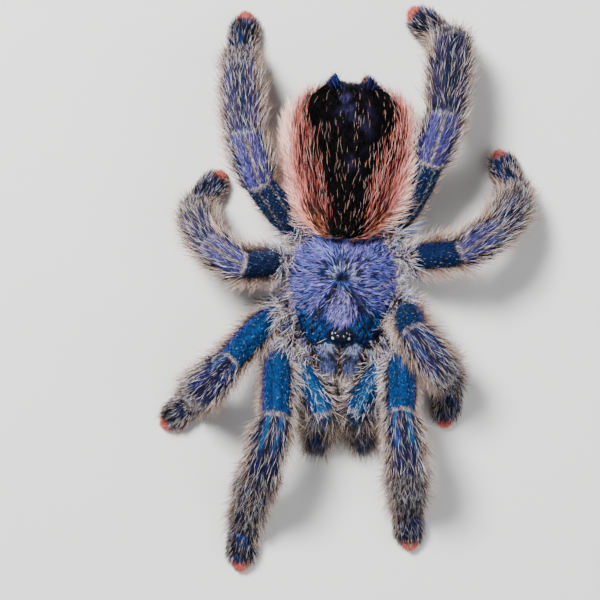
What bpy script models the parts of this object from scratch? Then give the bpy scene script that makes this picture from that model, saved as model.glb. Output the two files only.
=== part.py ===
"""Pink toe tarantula, a still life-size model on a level floor.

Every sub-part is one closed solid that reaches out to the tips of its coat of hair.
The spider faces -Y and its back is up, so its own left side is at +X.
The body is built round the middle of the carapace, and the whole model is centred at the end.
"""
import math

import bmesh
import bpy
from mathutils import Matrix, Vector

MM = 0.001
UP = Vector((0, 0, 1))
SIDES = {"left": 1, "right": -1}

# Clearances between pieces that touch
GAP = 0.3 * MM
EYE_GAP = 0.08 * MM

# Carapace: a low dome, blunt in front, on a narrow sternum
CARAPACE_HALF_WIDTH = 7.3 * MM
CARAPACE_FRONT = 7.4 * MM
CARAPACE_REAR = 7.9 * MM
FRONT_BLUNTNESS = 9.0
REAR_BLUNTNESS = 3.2
FRONT_TAPER = 0.32
HEAD_YAW = -2.5
RIM_HEIGHT = 7.0 * MM
RIM_THICKNESS = 0.5 * MM
HEAD_RISE = 3.5 * MM
THORAX_RISE = 3.0 * MM
FOVEA = Vector((0, 1.6 * MM, 0))
FOVEA_DEPTH = 0.6 * MM
FOVEA_RADIUS = 1.1 * MM
STERNUM_HALF_WIDTH = 3.0 * MM
STERNUM_HALF_LENGTH = 5.2 * MM
STERNUM_HEIGHT = 3.6 * MM
STERNUM_TOP = 6.1 * MM

# Eye tubercle, and where the eyes sit on it: sideways, forwards, radius
TUBERCLE = Vector((0, -6.1 * MM, 8.75 * MM))
TUBERCLE_HALF_SIZES = (1.5 * MM, 0.85 * MM, 1.0 * MM)
EYES = {
    "front_middle": (0.40 * MM, 0.05 * MM, 0.30 * MM),
    "front_side": (1.05 * MM, 0.36 * MM, 0.29 * MM),
    "rear_side": (1.10 * MM, -0.32 * MM, 0.25 * MM),
    "rear_middle": (0.74 * MM, -0.40 * MM, 0.16 * MM),
}
EYE_SUNK = 0.35

# Chelicerae, side by side under the front of the carapace, with the fangs folded below
CHELICERA_PATH = ((1.8, -6.6, 6.2), (1.8, -8.7, 6.9), (1.65, -11.2, 6.8), (1.45, -12.6, 6.1))
CHELICERA_HALF_WIDTHS = (1.6, 1.6, 1.35, 1.0)
CHELICERA_TALLNESS = 1.35
FANG_PATH = ((1.4, -12.4, 5.2), (1.4, -12.3, 4.0), (1.3, -11.0, 3.1), (1.15, -9.3, 3.0))
FANG_RADII = (0.5, 0.5, 0.38, 0.26)

# Abdomen: an egg on a level axis that swings a little to the spider's left
ABDOMEN_CENTRE = Vector((0.7 * MM, 17.8 * MM, 8.7 * MM))
ABDOMEN_YAW = 5
ABDOMEN_HALF_LENGTH = 11.6 * MM
ABDOMEN_HALF_WIDTH = 9.3 * MM
ABDOMEN_HALF_HEIGHT = 6.9 * MM
ABDOMEN_FULLNESS = 0.8
ABDOMEN_SKEW = 0.12
SPINNERET_ROOT = (1.1, 26.3, 6.4)
SPINNERET_SPREAD = 2.0
SPINNERET_LENGTH = 3.6
SPINNERET_RADII = (0.9, 0.75, 0.5)

# Heights of the ankle and of the tip of the foot above the floor
ANKLE_HEIGHT = 1.75 * MM
TOE_HEIGHT = 1.05 * MM
SHIN_CLEARANCE = 0.35 * MM

# Lengths in mm from the hip: femur, patella, tibia, metatarsus and tarsus (a palp has no metatarsus)
LENGTHS = {
    "leg1": (11.4, 6.8, 8.8, 6.6, 5.2),
    "leg2": (10.2, 5.9, 7.4, 5.8, 4.8),
    "leg3": (8.8, 5.2, 6.2, 6.2, 4.6),
    "leg4": (10.8, 6.6, 10.2, 8.8, 5.0),
    "palp": (8.4, 4.4, 4.3, 3.3),
}
# Pieces of a limb, each from one joint to another; a palp's patella and tibia are one piece
PIECES = {
    "leg": {"femur": (0, 1), "patella": (1, 2), "tibia": (2, 3), "metatarsus": (3, 4), "tarsus": (4, 5)},
    "palp": {"femur": (0, 1), "tibia": (1, 3), "tarsus": (3, 4)},
}
# Radii in mm out to the tips of the hair, at each joint from the hip and between the joints
JOINT_RADII = {"leg": (1.45, 2.15, 2.35, 2.3, 1.85, 1.4), "palp": (1.3, 1.75, 1.9, 1.75, 1.25)}
MIDDLE_RADII = {"leg": (2.35, 2.5, 2.8, 2.4, 1.95), "palp": (1.9, 1.95, 2.1, 1.8)}
GIRTHS = {"leg1": 1.0, "leg2": 0.95, "leg3": 0.92, "leg4": 1.04, "palp": 1.0}

# Where each coxa leaves the sternum, in mm, for the left side
COXA_ROOTS = {
    "palp": (2.9, -5.4),
    "leg1": (3.8, -2.9),
    "leg2": (3.9, -0.5),
    "leg3": (3.8, 2.3),
    "leg4": (2.9, 5.0),
}
COXA_HEIGHT = 4.9
COXA_RADIUS = 1.15

# Stance: hip in mm, compass heading of each part in degrees from +X, and pitch of the first parts.
# The parts that have no pitch here lead down to the ankle and along the floor.
STANCE = {
    ("leg1", "left"): ((8.0, -8.2, 6.2), (-95, -84, -81, -83, -86), (47, 8, -64)),
    ("leg1", "right"): ((-8.9, -8.1, 6.2), (-90, -105, -109, -103, -97), (43, -3, -52)),
    ("leg2", "left"): ((8.6, -2.4, 6.2), (-88, -52, -44, -58, -96), (74, -18, -76)),
    ("leg2", "right"): ((-9.4, -2.8, 6.2), (-131, -133, -135, -135, -138), (28, 38, -82)),
    ("leg3", "left"): ((8.6, 4.3, 6.2), (5, 33, 49, 83, 112), (36, -2, -38)),
    ("leg3", "right"): ((-8.4, 3.9, 6.2), (-171, 148, 118, 90, 55), (55, -17, -44)),
    ("leg4", "left"): ((6.9, 8.4, 6.0), (62, 72, 84, 108, 135), (29, 8, -10)),
    ("leg4", "right"): ((-6.4, 8.2, 6.0), (130, 107, 94, 93, 84), (47, 6, -27)),
    ("palp", "left"): ((5.4, -9.8, 5.8), (-121, -80, -76, -74), (32, -74)),
    ("palp", "right"): ((-6.0, -9.8, 5.8), (-62, -100, -104, -98), (32, -74)),
}

# How finely the round shapes are faceted
LIMB_FACETS = 10
BODY_FACETS = 28
ABDOMEN_FACETS = 20
ABDOMEN_STATIONS = 12
DOME_ANGLES = (65, 32)
DOME_SCALES = (0.96, 0.86, 0.7, 0.52, 0.34, 0.16)

# Colour, roughness
FINISHES = {
    "carapace_blue": ((0.16, 0.17, 0.30, 1), 0.6),
    "abdomen_black": ((0.03, 0.02, 0.03, 1), 0.75),
    "chelicera_lavender": ((0.25, 0.24, 0.40, 1), 0.6),
    "fang_black": ((0.02, 0.01, 0.01, 1), 0.25),
    "eye_black": ((0.01, 0.01, 0.015, 1), 0.08),
    "femur_teal": ((0.03, 0.13, 0.20, 1), 0.65),
    "patella_violet": ((0.12, 0.11, 0.22, 1), 0.65),
    "tibia_navy": ((0.06, 0.07, 0.13, 1), 0.7),
    "metatarsus_umber": ((0.12, 0.09, 0.10, 1), 0.75),
    "tarsus_pink": ((0.55, 0.25, 0.22, 1), 0.8),
}
LIMB_FINISHES = {
    "femur": "femur_teal",
    "patella": "patella_violet",
    "tibia": "tibia_navy",
    "metatarsus": "metatarsus_umber",
    "tarsus": "tarsus_pink",
}


def clear_scene():
    for item in list(bpy.data.objects):
        bpy.data.objects.remove(item, do_unlink=True)


def finish(name):
    """The named material, made the first time it is asked for."""
    if name in bpy.data.materials:
        return bpy.data.materials[name]
    colour, roughness = FINISHES[name]
    material = bpy.data.materials.new(name)
    material.use_nodes = True
    shader = material.node_tree.nodes["Principled BSDF"]
    shader.inputs["Base Color"].default_value = colour
    shader.inputs["Roughness"].default_value = roughness
    shader.inputs["Metallic"].default_value = 0.0
    material.diffuse_color = colour
    return material


def place(name, shape, finish_name):
    """Turns a finished bmesh into a named object."""
    bmesh.ops.recalc_face_normals(shape, faces=shape.faces)
    mesh = bpy.data.meshes.new(name)
    shape.to_mesh(mesh)
    shape.free()
    mesh.shade_smooth()
    mesh.set_sharp_from_angle(angle=math.radians(40))
    mesh.materials.append(finish(finish_name))
    item = bpy.data.objects.new(name, mesh)
    bpy.context.collection.objects.link(item)
    return item


def combine(item, shape, operation):
    """Joins a second shape to an object, or cuts it away, with an exact Boolean."""
    tool = place("tool", shape, "fang_black")
    modifier = item.modifiers.new("combine", "BOOLEAN")
    modifier.operation = operation
    modifier.solver = "EXACT"
    modifier.object = tool
    bpy.context.view_layer.objects.active = item
    bpy.ops.object.modifier_apply(modifier=modifier.name)
    bpy.data.objects.remove(tool, do_unlink=True)


def mm_point(values, side=1):
    """A point given in mm for the left side, mirrored for the right side."""
    return Vector((values[0] * side, values[1], values[2])) * MM


def loft(rings):
    """A closed shape through rings of points, with flat ends."""
    shape = bmesh.new()
    loops = [[shape.verts.new(point) for point in ring] for ring in rings]
    for near, far in zip(loops, loops[1:]):
        for index in range(len(near)):
            after = (index + 1) % len(near)
            shape.faces.new((near[index], near[after], far[after], far[index]))
    shape.faces.new(loops[0])
    shape.faces.new(loops[-1])
    bmesh.ops.recalc_face_normals(shape, faces=shape.faces)
    return shape


def oval(centre, direction, half_width, half_height, facets):
    """Points of an oval section square to a direction, starting at its side."""
    across = direction.cross(UP).normalized()
    over = across.cross(direction).normalized()
    angles = [2 * math.pi * step / facets for step in range(facets)]
    return [centre + across * (half_width * math.cos(a)) + over * (half_height * math.sin(a)) for a in angles]


def tube(path, radii, facets=LIMB_FACETS, tallness=1.0):
    """A round-ended tube with a radius at each point of its path."""
    legs = [(after - before).normalized() for before, after in zip(path, path[1:])]
    ways = [legs[0]] + [(a + b).normalized() for a, b in zip(legs, legs[1:])] + [legs[-1]]
    stations = []
    for angle in DOME_ANGLES:
        back = path[0] - ways[0] * (radii[0] * math.sin(math.radians(angle)))
        stations.append((back, ways[0], radii[0] * math.cos(math.radians(angle))))
    stations.extend(zip(path, ways, radii))
    for angle in reversed(DOME_ANGLES):
        ahead = path[-1] + ways[-1] * (radii[-1] * math.sin(math.radians(angle)))
        stations.append((ahead, ways[-1], radii[-1] * math.cos(math.radians(angle))))
    return loft([oval(centre, way, radius, radius * tallness, facets) for centre, way, radius in stations])


def trim(shape, point, normal):
    """Cuts off what lies beyond a plane and closes the cut."""
    parts = shape.verts[:] + shape.edges[:] + shape.faces[:]
    bmesh.ops.bisect_plane(shape, geom=parts, dist=1e-7, plane_co=point, plane_no=normal, clear_outer=True)
    rim = [edge for edge in shape.edges if edge.is_boundary]
    bmesh.ops.holes_fill(shape, edges=rim, sides=0)


def carapace_outline(half_width, front, rear):
    """A blunt oval seen from above that narrows towards the front."""
    points = []
    for step in range(BODY_FACETS):
        angle = 2 * math.pi * step / BODY_FACETS
        ahead = math.sin(angle) < 0
        length = front if ahead else rear
        power = FRONT_BLUNTNESS if ahead else REAR_BLUNTNESS
        wide = abs(math.cos(angle) / half_width) ** power
        long = abs(math.sin(angle) / length) ** power
        radius = (wide + long) ** (-1 / power)
        x, y = radius * math.cos(angle), radius * math.sin(angle)
        taper = FRONT_TAPER * (-y / front) if ahead else 0
        points.append(Vector((x * (1 - taper), y, 0)))
    return points


def dome_height(point, scale):
    """Height of the back at a point that lies at this share of the way out to the rim."""
    ahead = 0.5 - 0.5 * point.y / CARAPACE_FRONT
    rise = THORAX_RISE + (HEAD_RISE - THORAX_RISE) * min(max(ahead, 0), 1)
    spread = (point - FOVEA).length / FOVEA_RADIUS
    return RIM_HEIGHT + rise * (1 - scale ** 2.3) ** 0.6 - FOVEA_DEPTH * math.exp(-spread ** 2)


def cephalothorax_shape(grow=0.0):
    """Sternum, carapace rim and dome, and optionally a little larger all over."""
    rim = carapace_outline(CARAPACE_HALF_WIDTH + grow, CARAPACE_FRONT + grow, CARAPACE_REAR + grow)
    sternum = carapace_outline(STERNUM_HALF_WIDTH + grow, STERNUM_HALF_LENGTH + grow, STERNUM_HALF_LENGTH + grow)
    rings = [
        [point * 0.8 + UP * (STERNUM_HEIGHT - grow) for point in sternum],
        [point + UP * (STERNUM_HEIGHT + 0.5 * MM) for point in sternum],
        [point + UP * (STERNUM_TOP - grow) for point in sternum],
        [point * 0.95 + UP * (RIM_HEIGHT - RIM_THICKNESS - grow) for point in rim],
        [point + UP * RIM_HEIGHT for point in rim],
    ]
    for scale in DOME_SCALES:
        rings.append([point * scale + UP * (dome_height(point * scale, scale) + grow) for point in rim])
    return swing(loft(rings))


def swing(shape):
    """Turns a piece of the head about the upright line through the fovea."""
    bmesh.ops.rotate(shape, cent=FOVEA, matrix=Matrix.Rotation(math.radians(HEAD_YAW), 3, "Z"), verts=shape.verts)
    return shape


def ball(centre, half_sizes, across=12, rings=8):
    """An ellipsoid with its poles up and down."""
    shape = bmesh.new()
    bmesh.ops.create_uvsphere(shape, u_segments=across, v_segments=rings, radius=1)
    bmesh.ops.transform(shape, matrix=Matrix.LocRotScale(centre, None, Vector(half_sizes)), verts=shape.verts)
    return shape


def eye_place(sideways, forwards, radius):
    """Centre of an eye, sunk into the tubercle along its surface normal."""
    wide, deep, tall = TUBERCLE_HALF_SIZES
    height = tall * math.sqrt(1 - (sideways / wide) ** 2 - (forwards / deep) ** 2)
    normal = Vector((sideways / wide ** 2, -forwards / deep ** 2, height / tall ** 2)).normalized()
    return TUBERCLE + Vector((sideways, -forwards, height)) - normal * radius * EYE_SUNK


def build_cephalothorax():
    item = place("cephalothorax", cephalothorax_shape(), "carapace_blue")
    combine(item, swing(ball(TUBERCLE, TUBERCLE_HALF_SIZES)), "UNION")
    for position, (sideways, forwards, radius) in EYES.items():
        for side_name, side in SIDES.items():
            centre = eye_place(sideways * side, forwards, radius)
            socket = [radius + EYE_GAP] * 3
            combine(item, swing(ball(centre, socket, 8, 6)), "DIFFERENCE")
            place(f"eye_{position}_{side_name}", swing(ball(centre, [radius] * 3, 8, 6)), "eye_black")


def chelicera_shape(side, grow=0.0):
    path = [mm_point(point, side) for point in CHELICERA_PATH]
    radii = [radius * MM + grow for radius in CHELICERA_HALF_WIDTHS]
    shape = tube(path, radii, facets=12, tallness=CHELICERA_TALLNESS)
    trim(shape, Vector((0, GAP / 2 + grow - CARAPACE_FRONT, 0)), Vector((0, 1, 0)))
    return swing(shape)


def build_jaws():
    """Both chelicerae, each with its fang folded back below it."""
    for side_name, side in SIDES.items():
        jaw = place(f"chelicera_{side_name}", chelicera_shape(side), "chelicera_lavender")
        combine(jaw, cephalothorax_shape(GAP), "DIFFERENCE")
        path = [mm_point(point, side) for point in FANG_PATH]
        claw = swing(tube(path, [radius * MM for radius in FANG_RADII], facets=8))
        fang = place(f"fang_{side_name}", claw, "fang_black")
        combine(fang, chelicera_shape(side, GAP), "DIFFERENCE")


def abdomen_shape(grow=0.0):
    """An egg, widest behind its middle, through rings along the level axis."""
    turn = Matrix.Rotation(math.radians(-ABDOMEN_YAW), 3, "Z")
    axis = turn @ Vector((0, 1, 0))
    rings = []
    for step in range(1, ABDOMEN_STATIONS):
        angle = math.pi * step / ABDOMEN_STATIONS
        along = -math.cos(angle) + ABDOMEN_SKEW * math.sin(angle) ** 2
        size = math.sin(angle) ** ABDOMEN_FULLNESS
        centre = ABDOMEN_CENTRE + axis * (along * (ABDOMEN_HALF_LENGTH + grow))
        width = size * ABDOMEN_HALF_WIDTH + grow
        rings.append(oval(centre, axis, width, size * ABDOMEN_HALF_HEIGHT + grow, ABDOMEN_FACETS))
    return loft(rings)


def build_abdomen():
    item = place("abdomen", abdomen_shape(), "abdomen_black")
    combine(item, cephalothorax_shape(GAP), "DIFFERENCE")
    for side in SIDES.values():
        root = mm_point(SPINNERET_ROOT) + Vector((SPINNERET_SPREAD * 0.5 * side * MM, 0, 0))
        tip = root + Vector((SPINNERET_SPREAD * 0.5 * side, SPINNERET_LENGTH, -1)) * MM
        path = [root, (root + tip) / 2, tip]
        combine(item, tube(path, [radius * MM for radius in SPINNERET_RADII], 8), "UNION")


def joint_centres(kind, side_name):
    """Joint centres from the hip to the tip of the foot, which lies on the floor."""
    hip, headings, pitches = STANCE[kind, side_name]
    lengths = LENGTHS[kind]
    points = [mm_point(hip)]
    for index, heading in enumerate(headings):
        reach = lengths[index] * MM
        if index < len(pitches):
            rise = reach * math.sin(math.radians(pitches[index]))
        elif index == len(headings) - 2:
            rise = ANKLE_HEIGHT - points[-1].z
        else:
            rise = TOE_HEIGHT - ANKLE_HEIGHT
        run = math.sqrt(reach ** 2 - rise ** 2)
        turn = math.radians(heading)
        points.append(points[-1] + Vector((run * math.cos(turn), run * math.sin(turn), rise)))
    return points


def limb_path(points, joint_radii, middle_radii, first, last):
    """Path and radii of the piece between two joints, a little thicker between joints."""
    path = [points[first]]
    radii = [joint_radii[first]]
    for index in range(first, last):
        start, end = points[index], points[index + 1]
        path.extend([start.lerp(end, 0.35), start.lerp(end, 0.7), end])
        radii.extend([middle_radii[index], middle_radii[index], joint_radii[index + 1]])
    return path, radii


def mitre(points, index):
    """Unit normal of the plane that halves the bend at a joint."""
    before = (points[index] - points[index - 1]).normalized()
    after = (points[index + 1] - points[index]).normalized()
    return (before + after).normalized()


def build_limb(kind, side_name):
    """The pieces of one leg or palp, mitred at the joints, with the foot flat on the floor."""
    family = "palp" if kind == "palp" else "leg"
    girth = GIRTHS[kind] * MM
    joint_radii = [radius * girth for radius in JOINT_RADII[family]]
    middle_radii = [radius * girth for radius in MIDDLE_RADII[family]]
    points = joint_centres(kind, side_name)
    for part, (first, last) in PIECES[family].items():
        path, radii = limb_path(points, joint_radii, middle_radii, first, last)
        if first == 0:
            root = mm_point((*COXA_ROOTS[kind], COXA_HEIGHT), SIDES[side_name])
            path = [root, root.lerp(points[0], 0.5)] + path
            radii = [COXA_RADIUS * MM, (COXA_RADIUS * MM + radii[0]) / 2] + radii
        shape = tube(path, radii)
        if first > 0:
            normal = mitre(points, first)
            trim(shape, points[first] + normal * GAP / 2, -normal)
        if part != "tarsus":
            normal = mitre(points, last)
            trim(shape, points[last] - normal * GAP / 2, normal)
        trim(shape, UP * (0.0 if part == "tarsus" else SHIN_CLEARANCE), -UP)
        item = place(f"{kind}_{side_name}_{part}", shape, LIMB_FINISHES[part])
        if part == "femur":
            combine(item, cephalothorax_shape(GAP), "DIFFERENCE")
        if kind == "palp":
            combine(item, chelicera_shape(SIDES[side_name], GAP), "DIFFERENCE")
        if kind == "leg4":
            combine(item, abdomen_shape(GAP), "DIFFERENCE")


def centre_on_floor():
    """Moves the whole model so that its box is centred over the origin."""
    corners = [item.matrix_world @ vertex.co for item in bpy.data.objects for vertex in item.data.vertices]
    middle_x = (min(corner.x for corner in corners) + max(corner.x for corner in corners)) / 2
    middle_y = (min(corner.y for corner in corners) + max(corner.y for corner in corners)) / 2
    for item in bpy.data.objects:
        item.location = (-middle_x, -middle_y, 0)


def main():
    clear_scene()
    build_cephalothorax()
    build_jaws()
    build_abdomen()
    for kind, side_name in STANCE:
        build_limb(kind, side_name)
    centre_on_floor()


main()
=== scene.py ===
"""Looks of a life-size pink toe tarantula: one skin, a coat of separate hairs, eyes, fangs and stage."""
import math

import bmesh
import bpy
import numpy as np
from bpy.props import FloatProperty, FloatVectorProperty, PointerProperty
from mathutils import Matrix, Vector
from mathutils.kdtree import KDTree


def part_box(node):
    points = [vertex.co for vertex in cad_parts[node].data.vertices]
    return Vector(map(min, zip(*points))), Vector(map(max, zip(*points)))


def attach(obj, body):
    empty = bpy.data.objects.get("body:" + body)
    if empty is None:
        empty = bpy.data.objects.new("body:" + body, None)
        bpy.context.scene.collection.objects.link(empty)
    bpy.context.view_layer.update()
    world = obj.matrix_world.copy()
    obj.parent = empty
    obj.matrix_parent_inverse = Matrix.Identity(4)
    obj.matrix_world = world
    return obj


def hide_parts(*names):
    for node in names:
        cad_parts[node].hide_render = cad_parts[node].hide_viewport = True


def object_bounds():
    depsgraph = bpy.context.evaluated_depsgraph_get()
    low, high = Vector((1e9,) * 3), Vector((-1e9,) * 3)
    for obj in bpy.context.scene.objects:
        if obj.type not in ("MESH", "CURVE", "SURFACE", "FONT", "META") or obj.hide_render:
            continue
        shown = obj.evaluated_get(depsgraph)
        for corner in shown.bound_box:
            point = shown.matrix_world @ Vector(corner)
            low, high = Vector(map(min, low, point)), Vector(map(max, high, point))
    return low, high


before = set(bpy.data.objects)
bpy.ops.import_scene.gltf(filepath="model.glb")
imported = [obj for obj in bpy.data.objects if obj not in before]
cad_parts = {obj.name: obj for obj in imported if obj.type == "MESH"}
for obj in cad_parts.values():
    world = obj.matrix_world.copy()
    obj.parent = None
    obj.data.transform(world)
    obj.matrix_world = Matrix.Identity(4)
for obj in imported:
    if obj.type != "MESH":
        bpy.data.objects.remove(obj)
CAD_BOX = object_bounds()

bl_info = {
    "name": "Pink Toe Tarantula",
    "version": (1, 0, 0),
    "blender": (4, 5, 0),
    "location": "3D View > Sidebar > Tarantula",
    "description": "Builds the skin, the coat of hair, the eyes and the fangs of a life-size tarantula",
    "category": "Object",
}

MM = 0.001
UP = np.array((0.0, 0.0, 1.0))
SIDES = ("left", "right")
LEG_PIECES = ("femur", "patella", "tibia", "metatarsus", "tarsus")
PALP_PIECES = ("femur", "tibia", "tarsus")
LIMBS = [f"{kind}_{side}" for kind in ("leg1", "leg2", "leg3", "leg4", "palp") for side in SIDES]
EYES = [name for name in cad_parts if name.startswith("eye")]
# What a point of the skin belongs to
REGIONS = ("carapace", "abdomen", "chelicera") + LEG_PIECES
CODE = {name: number for number, name in enumerate(REGIONS)}
# What is stored on each point of the skin
TAGS = {"region": "INT", "limb": "INT", "along": "FLOAT", "around": "FLOAT", "ring": "FLOAT",
        "lie": "FLOAT_VECTOR"}
FIELDS = {"FLOAT": ("value", 1), "INT": ("value", 1), "FLOAT_VECTOR": ("vector", 3),
          "FLOAT_COLOR": ("color", 4)}

# Random points taken on a solid to find its middle line, on the abdomen, and on each part to tag the skin
LINE_SAMPLES = 6000
ABDOMEN_SAMPLES = 20000
PART_SAMPLES = 1800
FEWEST_SAMPLES = 20
# The fovea's place as a share of the head's length from its front, and its depth in mm under the top
FOVEA_SHARE = 0.408
FOVEA_DROP = 0.5
# Relief of the carapace in mm, and how fast its furrows spread
PIT_DEPTH = 0.35
FURROW_DEPTH = 0.34
RAY_DEPTH = 0.16
WEDGE_HEIGHT = 0.22
FURROW_SLOPE = 2.75 / 4.0

# Heights above the floor, in metres
TARSUS_CORE = 0.35 * MM
LOWEST_SKIN = 0.06 * MM
LOWEST_HAIR = 0.03 * MM
ROOF = 0.4 * MM  # how far a hair's tip may rise over the top of the solids
# Hair: how deep in mm it is rooted, its girths at the rings and its patch on the bake map
ROOT_DEPTH = 0.05
GIRTHS = {1: (1,), 2: (1, 0.8), 3: (1, 0.85, 0.55)}
PATCH = 0.003
# How far in mm each spinneret lies from the abdomen's middle
SPINNERET = 1.9
# Radii in mm of the balls in the joints, from the knee outwards, and the palps' girth
HIP_BALL = 1.25
LEG_BALLS = (1.68, 1.82, 1.75, 1.4)
PALP_BALLS = (1.7, 1.6)
PALP_GIRTH = 0.82
# Random seeds of the pieces of coat
SEEDS = {"carapace": 101, "abdomen": 102, "limbs": 103, "jaws": 104, "lower legs": 200}
# Dark and light tones of the eyes
EYE_TONES = {"front_middle": ((0.004, 0.004, 0.008, 1), (0.03, 0.035, 0.06, 1)),
             "side": ((0.04, 0.05, 0.07, 1), (0.36, 0.42, 0.48, 1))}
# Camera: its place beside the fovea and its height; lights: place, size and power
CAMERA_ASIDE = np.array((-5.76, -2.94)) * MM
CAMERA_HEIGHT = 230 * MM
LENS = 99.2
LIGHTS = (((-0.14, 0.16, 0.34), 0.1, 4.9), ((0.25, -0.12, 0.26), 0.3, 0.9), ((0.05, -0.3, 0.16), 0.2, 0.4))


# ---------------------------------------------------------------- settings

def length_setting(label, note, default):
    return FloatProperty(name=label, description=note, default=default, min=0.0, unit="LENGTH", precision=5)


def share_setting(label, note, default):
    return FloatProperty(name=label, description=note, default=default, min=0.0, max=2.0, subtype="FACTOR")


def colour_setting(label, note, *levels):
    """A colour given by levels of 0 to 255 and kept as the amounts of light that they stand for."""
    levels = np.array(levels) / 255
    light = np.where(levels > 0.04045, ((levels + 0.055) / 1.055) ** 2.4, levels / 12.92)
    return FloatVectorProperty(name=label, description=note, default=tuple(light.tolist()), size=3,
                               subtype="COLOR", min=0, max=1)


class TarantulaSkin(bpy.types.PropertyGroup):
    """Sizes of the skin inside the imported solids."""
    voxel: length_setting("Voxel", "Grid step of the skin", 0.3 * MM)
    femur: share_setting("Femur", "Skin radius as a share of the femur's solid", 0.79)
    patella: share_setting("Patella", "Skin radius as a share of the patella's solid", 0.83)
    tibia: share_setting("Tibia", "Skin radius as a share of the tibia's solid", 0.79)
    metatarsus: share_setting("Metatarsus", "Skin radius as a share of the metatarsus's solid", 0.79)
    tarsus: share_setting("Tarsus", "Skin radius as a share of the tarsus's solid", 0.86)
    chelicera: share_setting("Chelicera", "Skin size as a share of the chelicera's solid", 0.93)
    jaw_height: share_setting(
        "Jaw height", "Height of the chelicerae's skin as a share of its full height", 0.84)
    abdomen: share_setting("Abdomen", "Skin size as a share of the abdomen's solid", 0.89)
    carapace_depth: length_setting("Carapace coat", "Depth of the short coat on the carapace", 0.2 * MM)


class TarantulaColours(bpy.types.PropertyGroup):
    """Colours that the skin and the coat share."""
    violet: colour_setting("Violet", "Violet-blue hair of the carapace and patellae", 92, 84, 204)
    # Lavender also serves the painted highlights among the carapace's pale tips.
    lavender: colour_setting("Lavender", "Pale tips of the carapace's hair", 148, 157, 255)
    blue: colour_setting("Blue", "Mid-blue hair of the carapace", 34, 84, 192)
    teal: colour_setting("Teal", "Velvet of the front femora", 0, 92, 172)
    deep: colour_setting("Deep blue", "Velvet beside the eyes", 0, 42, 118)
    navy: colour_setting("Navy", "Short dark hair of the legs", 16, 24, 60)
    black: colour_setting("Black", "Velvet of the abdomen's back", 3, 2, 3)
    salmon: colour_setting("Salmon", "Long hair of the abdomen's flanks", 240, 116, 106)
    peach: colour_setting("Peach", "Hair of the abdomen's front rim", 236, 138, 92)
    blush: colour_setting("Blush", "Pale tips of the flanks' hair", 252, 206, 196)
    cream: colour_setting("Cream", "Long pale hair of the legs", 238, 220, 202)
    mauve: colour_setting("Mauve", "Greyish pink hair round the hips", 196, 170, 182)
    cyan: colour_setting("Cyan", "Bright stripes of the front patellae", 24, 128, 196)
    toe: colour_setting("Toe", "Pink pads at the tips of the legs", 232, 122, 104)
    tan: colour_setting("Tan", "Brownish hair of the feet and of the fringes", 170, 128, 92)
    # Shine also serves as the painted highlight on the band of hair just behind the fovea.
    shine: colour_setting("Shine", "Whitish hair behind the fovea and before the eyes", 226, 230, 246)
    underside: colour_setting("Underside", "Dark skin of the underside", 38, 29, 30)


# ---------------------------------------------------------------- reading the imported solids

def arrays_of(item):
    """Points and triangles of a mesh object."""
    mesh = item.data
    points = np.empty(len(mesh.vertices) * 3)
    mesh.vertices.foreach_get("co", points)
    mesh.calc_loop_triangles()
    triangles = np.empty(len(mesh.loop_triangles) * 3, dtype=int)
    mesh.loop_triangles.foreach_get("vertices", triangles)
    return points.reshape(-1, 3), triangles.reshape(-1, 3)


def solid(node):
    """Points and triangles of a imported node."""
    return arrays_of(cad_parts[node])


def box_centre(node):
    low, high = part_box(node)
    return np.array((low + high) / 2)


def eye_radius(node):
    low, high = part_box(node)
    return (high[0] - low[0]) / 2


def unit(vectors):
    """Vectors brought to length one."""
    return vectors / np.maximum(np.linalg.norm(vectors, axis=-1, keepdims=True), 1e-12)


def corner_shares(picker, count):
    """Shares of a triangle's three corners for random points spread evenly over it."""
    u, v = picker.random((2, count))
    flip = u + v > 1
    u, v = np.where(flip, 1 - u, u), np.where(flip, 1 - v, v)
    return np.stack([1 - u - v, u, v], axis=1)


def surface_samples(points, triangles, count, seed):
    """Points spread evenly over a surface."""
    picker = np.random.default_rng(seed)
    a, b, c = points[triangles].transpose(1, 0, 2)
    area = np.linalg.norm(np.cross(b - a, c - a), axis=1)
    chosen = picker.choice(len(triangles), count, p=area / area.sum())
    _, u, v = corner_shares(picker, count).T[:, :, None]
    return a[chosen] + (b - a)[chosen] * u + (c - a)[chosen] * v


def cut_centre(node, neighbour):
    """Centre of the widest flat face that a node turns towards its neighbour."""
    points, triangles = solid(node)
    towards = unit(solid(neighbour)[0].mean(0) - points.mean(0))
    a, b, c = points[triangles].transpose(1, 0, 2)
    cross = np.cross(b - a, c - a)
    area = np.linalg.norm(cross, axis=1) / 2
    normal = unit(cross)
    middle = (a + b + c) / 3
    best_area, best_centre = 0.0, None
    for index in np.flatnonzero((normal @ towards > 0.3) & (area > 1e-9)):
        level = np.abs((middle - middle[index]) @ normal[index]) < 0.02 * MM
        flat = level & (normal @ normal[index] > 0.999)
        if area[flat].sum() > best_area:
            best_area = area[flat].sum()
            best_centre = (middle[flat] * area[flat, None]).sum(0) / best_area
    return best_centre


def pieces_of(limb):
    return PALP_PIECES if limb.startswith("palp") else LEG_PIECES


def middle_line(node, start, end, steps):
    """Points along the middle of a bent node, from its start to its end."""
    samples = surface_samples(*solid(node), LINE_SAMPLES, 1)
    axis = end - start
    share = (samples - start) @ axis / (axis @ axis)
    line = [start]
    for step in range(1, steps):
        slab = np.abs(share - step / steps) < 0.5 / steps
        enough = slab.sum() > FEWEST_SAMPLES
        line.append((samples[slab].max(0) + samples[slab].min(0)) / 2 if enough else line[-1])
    return np.array(line + [end])


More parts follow.
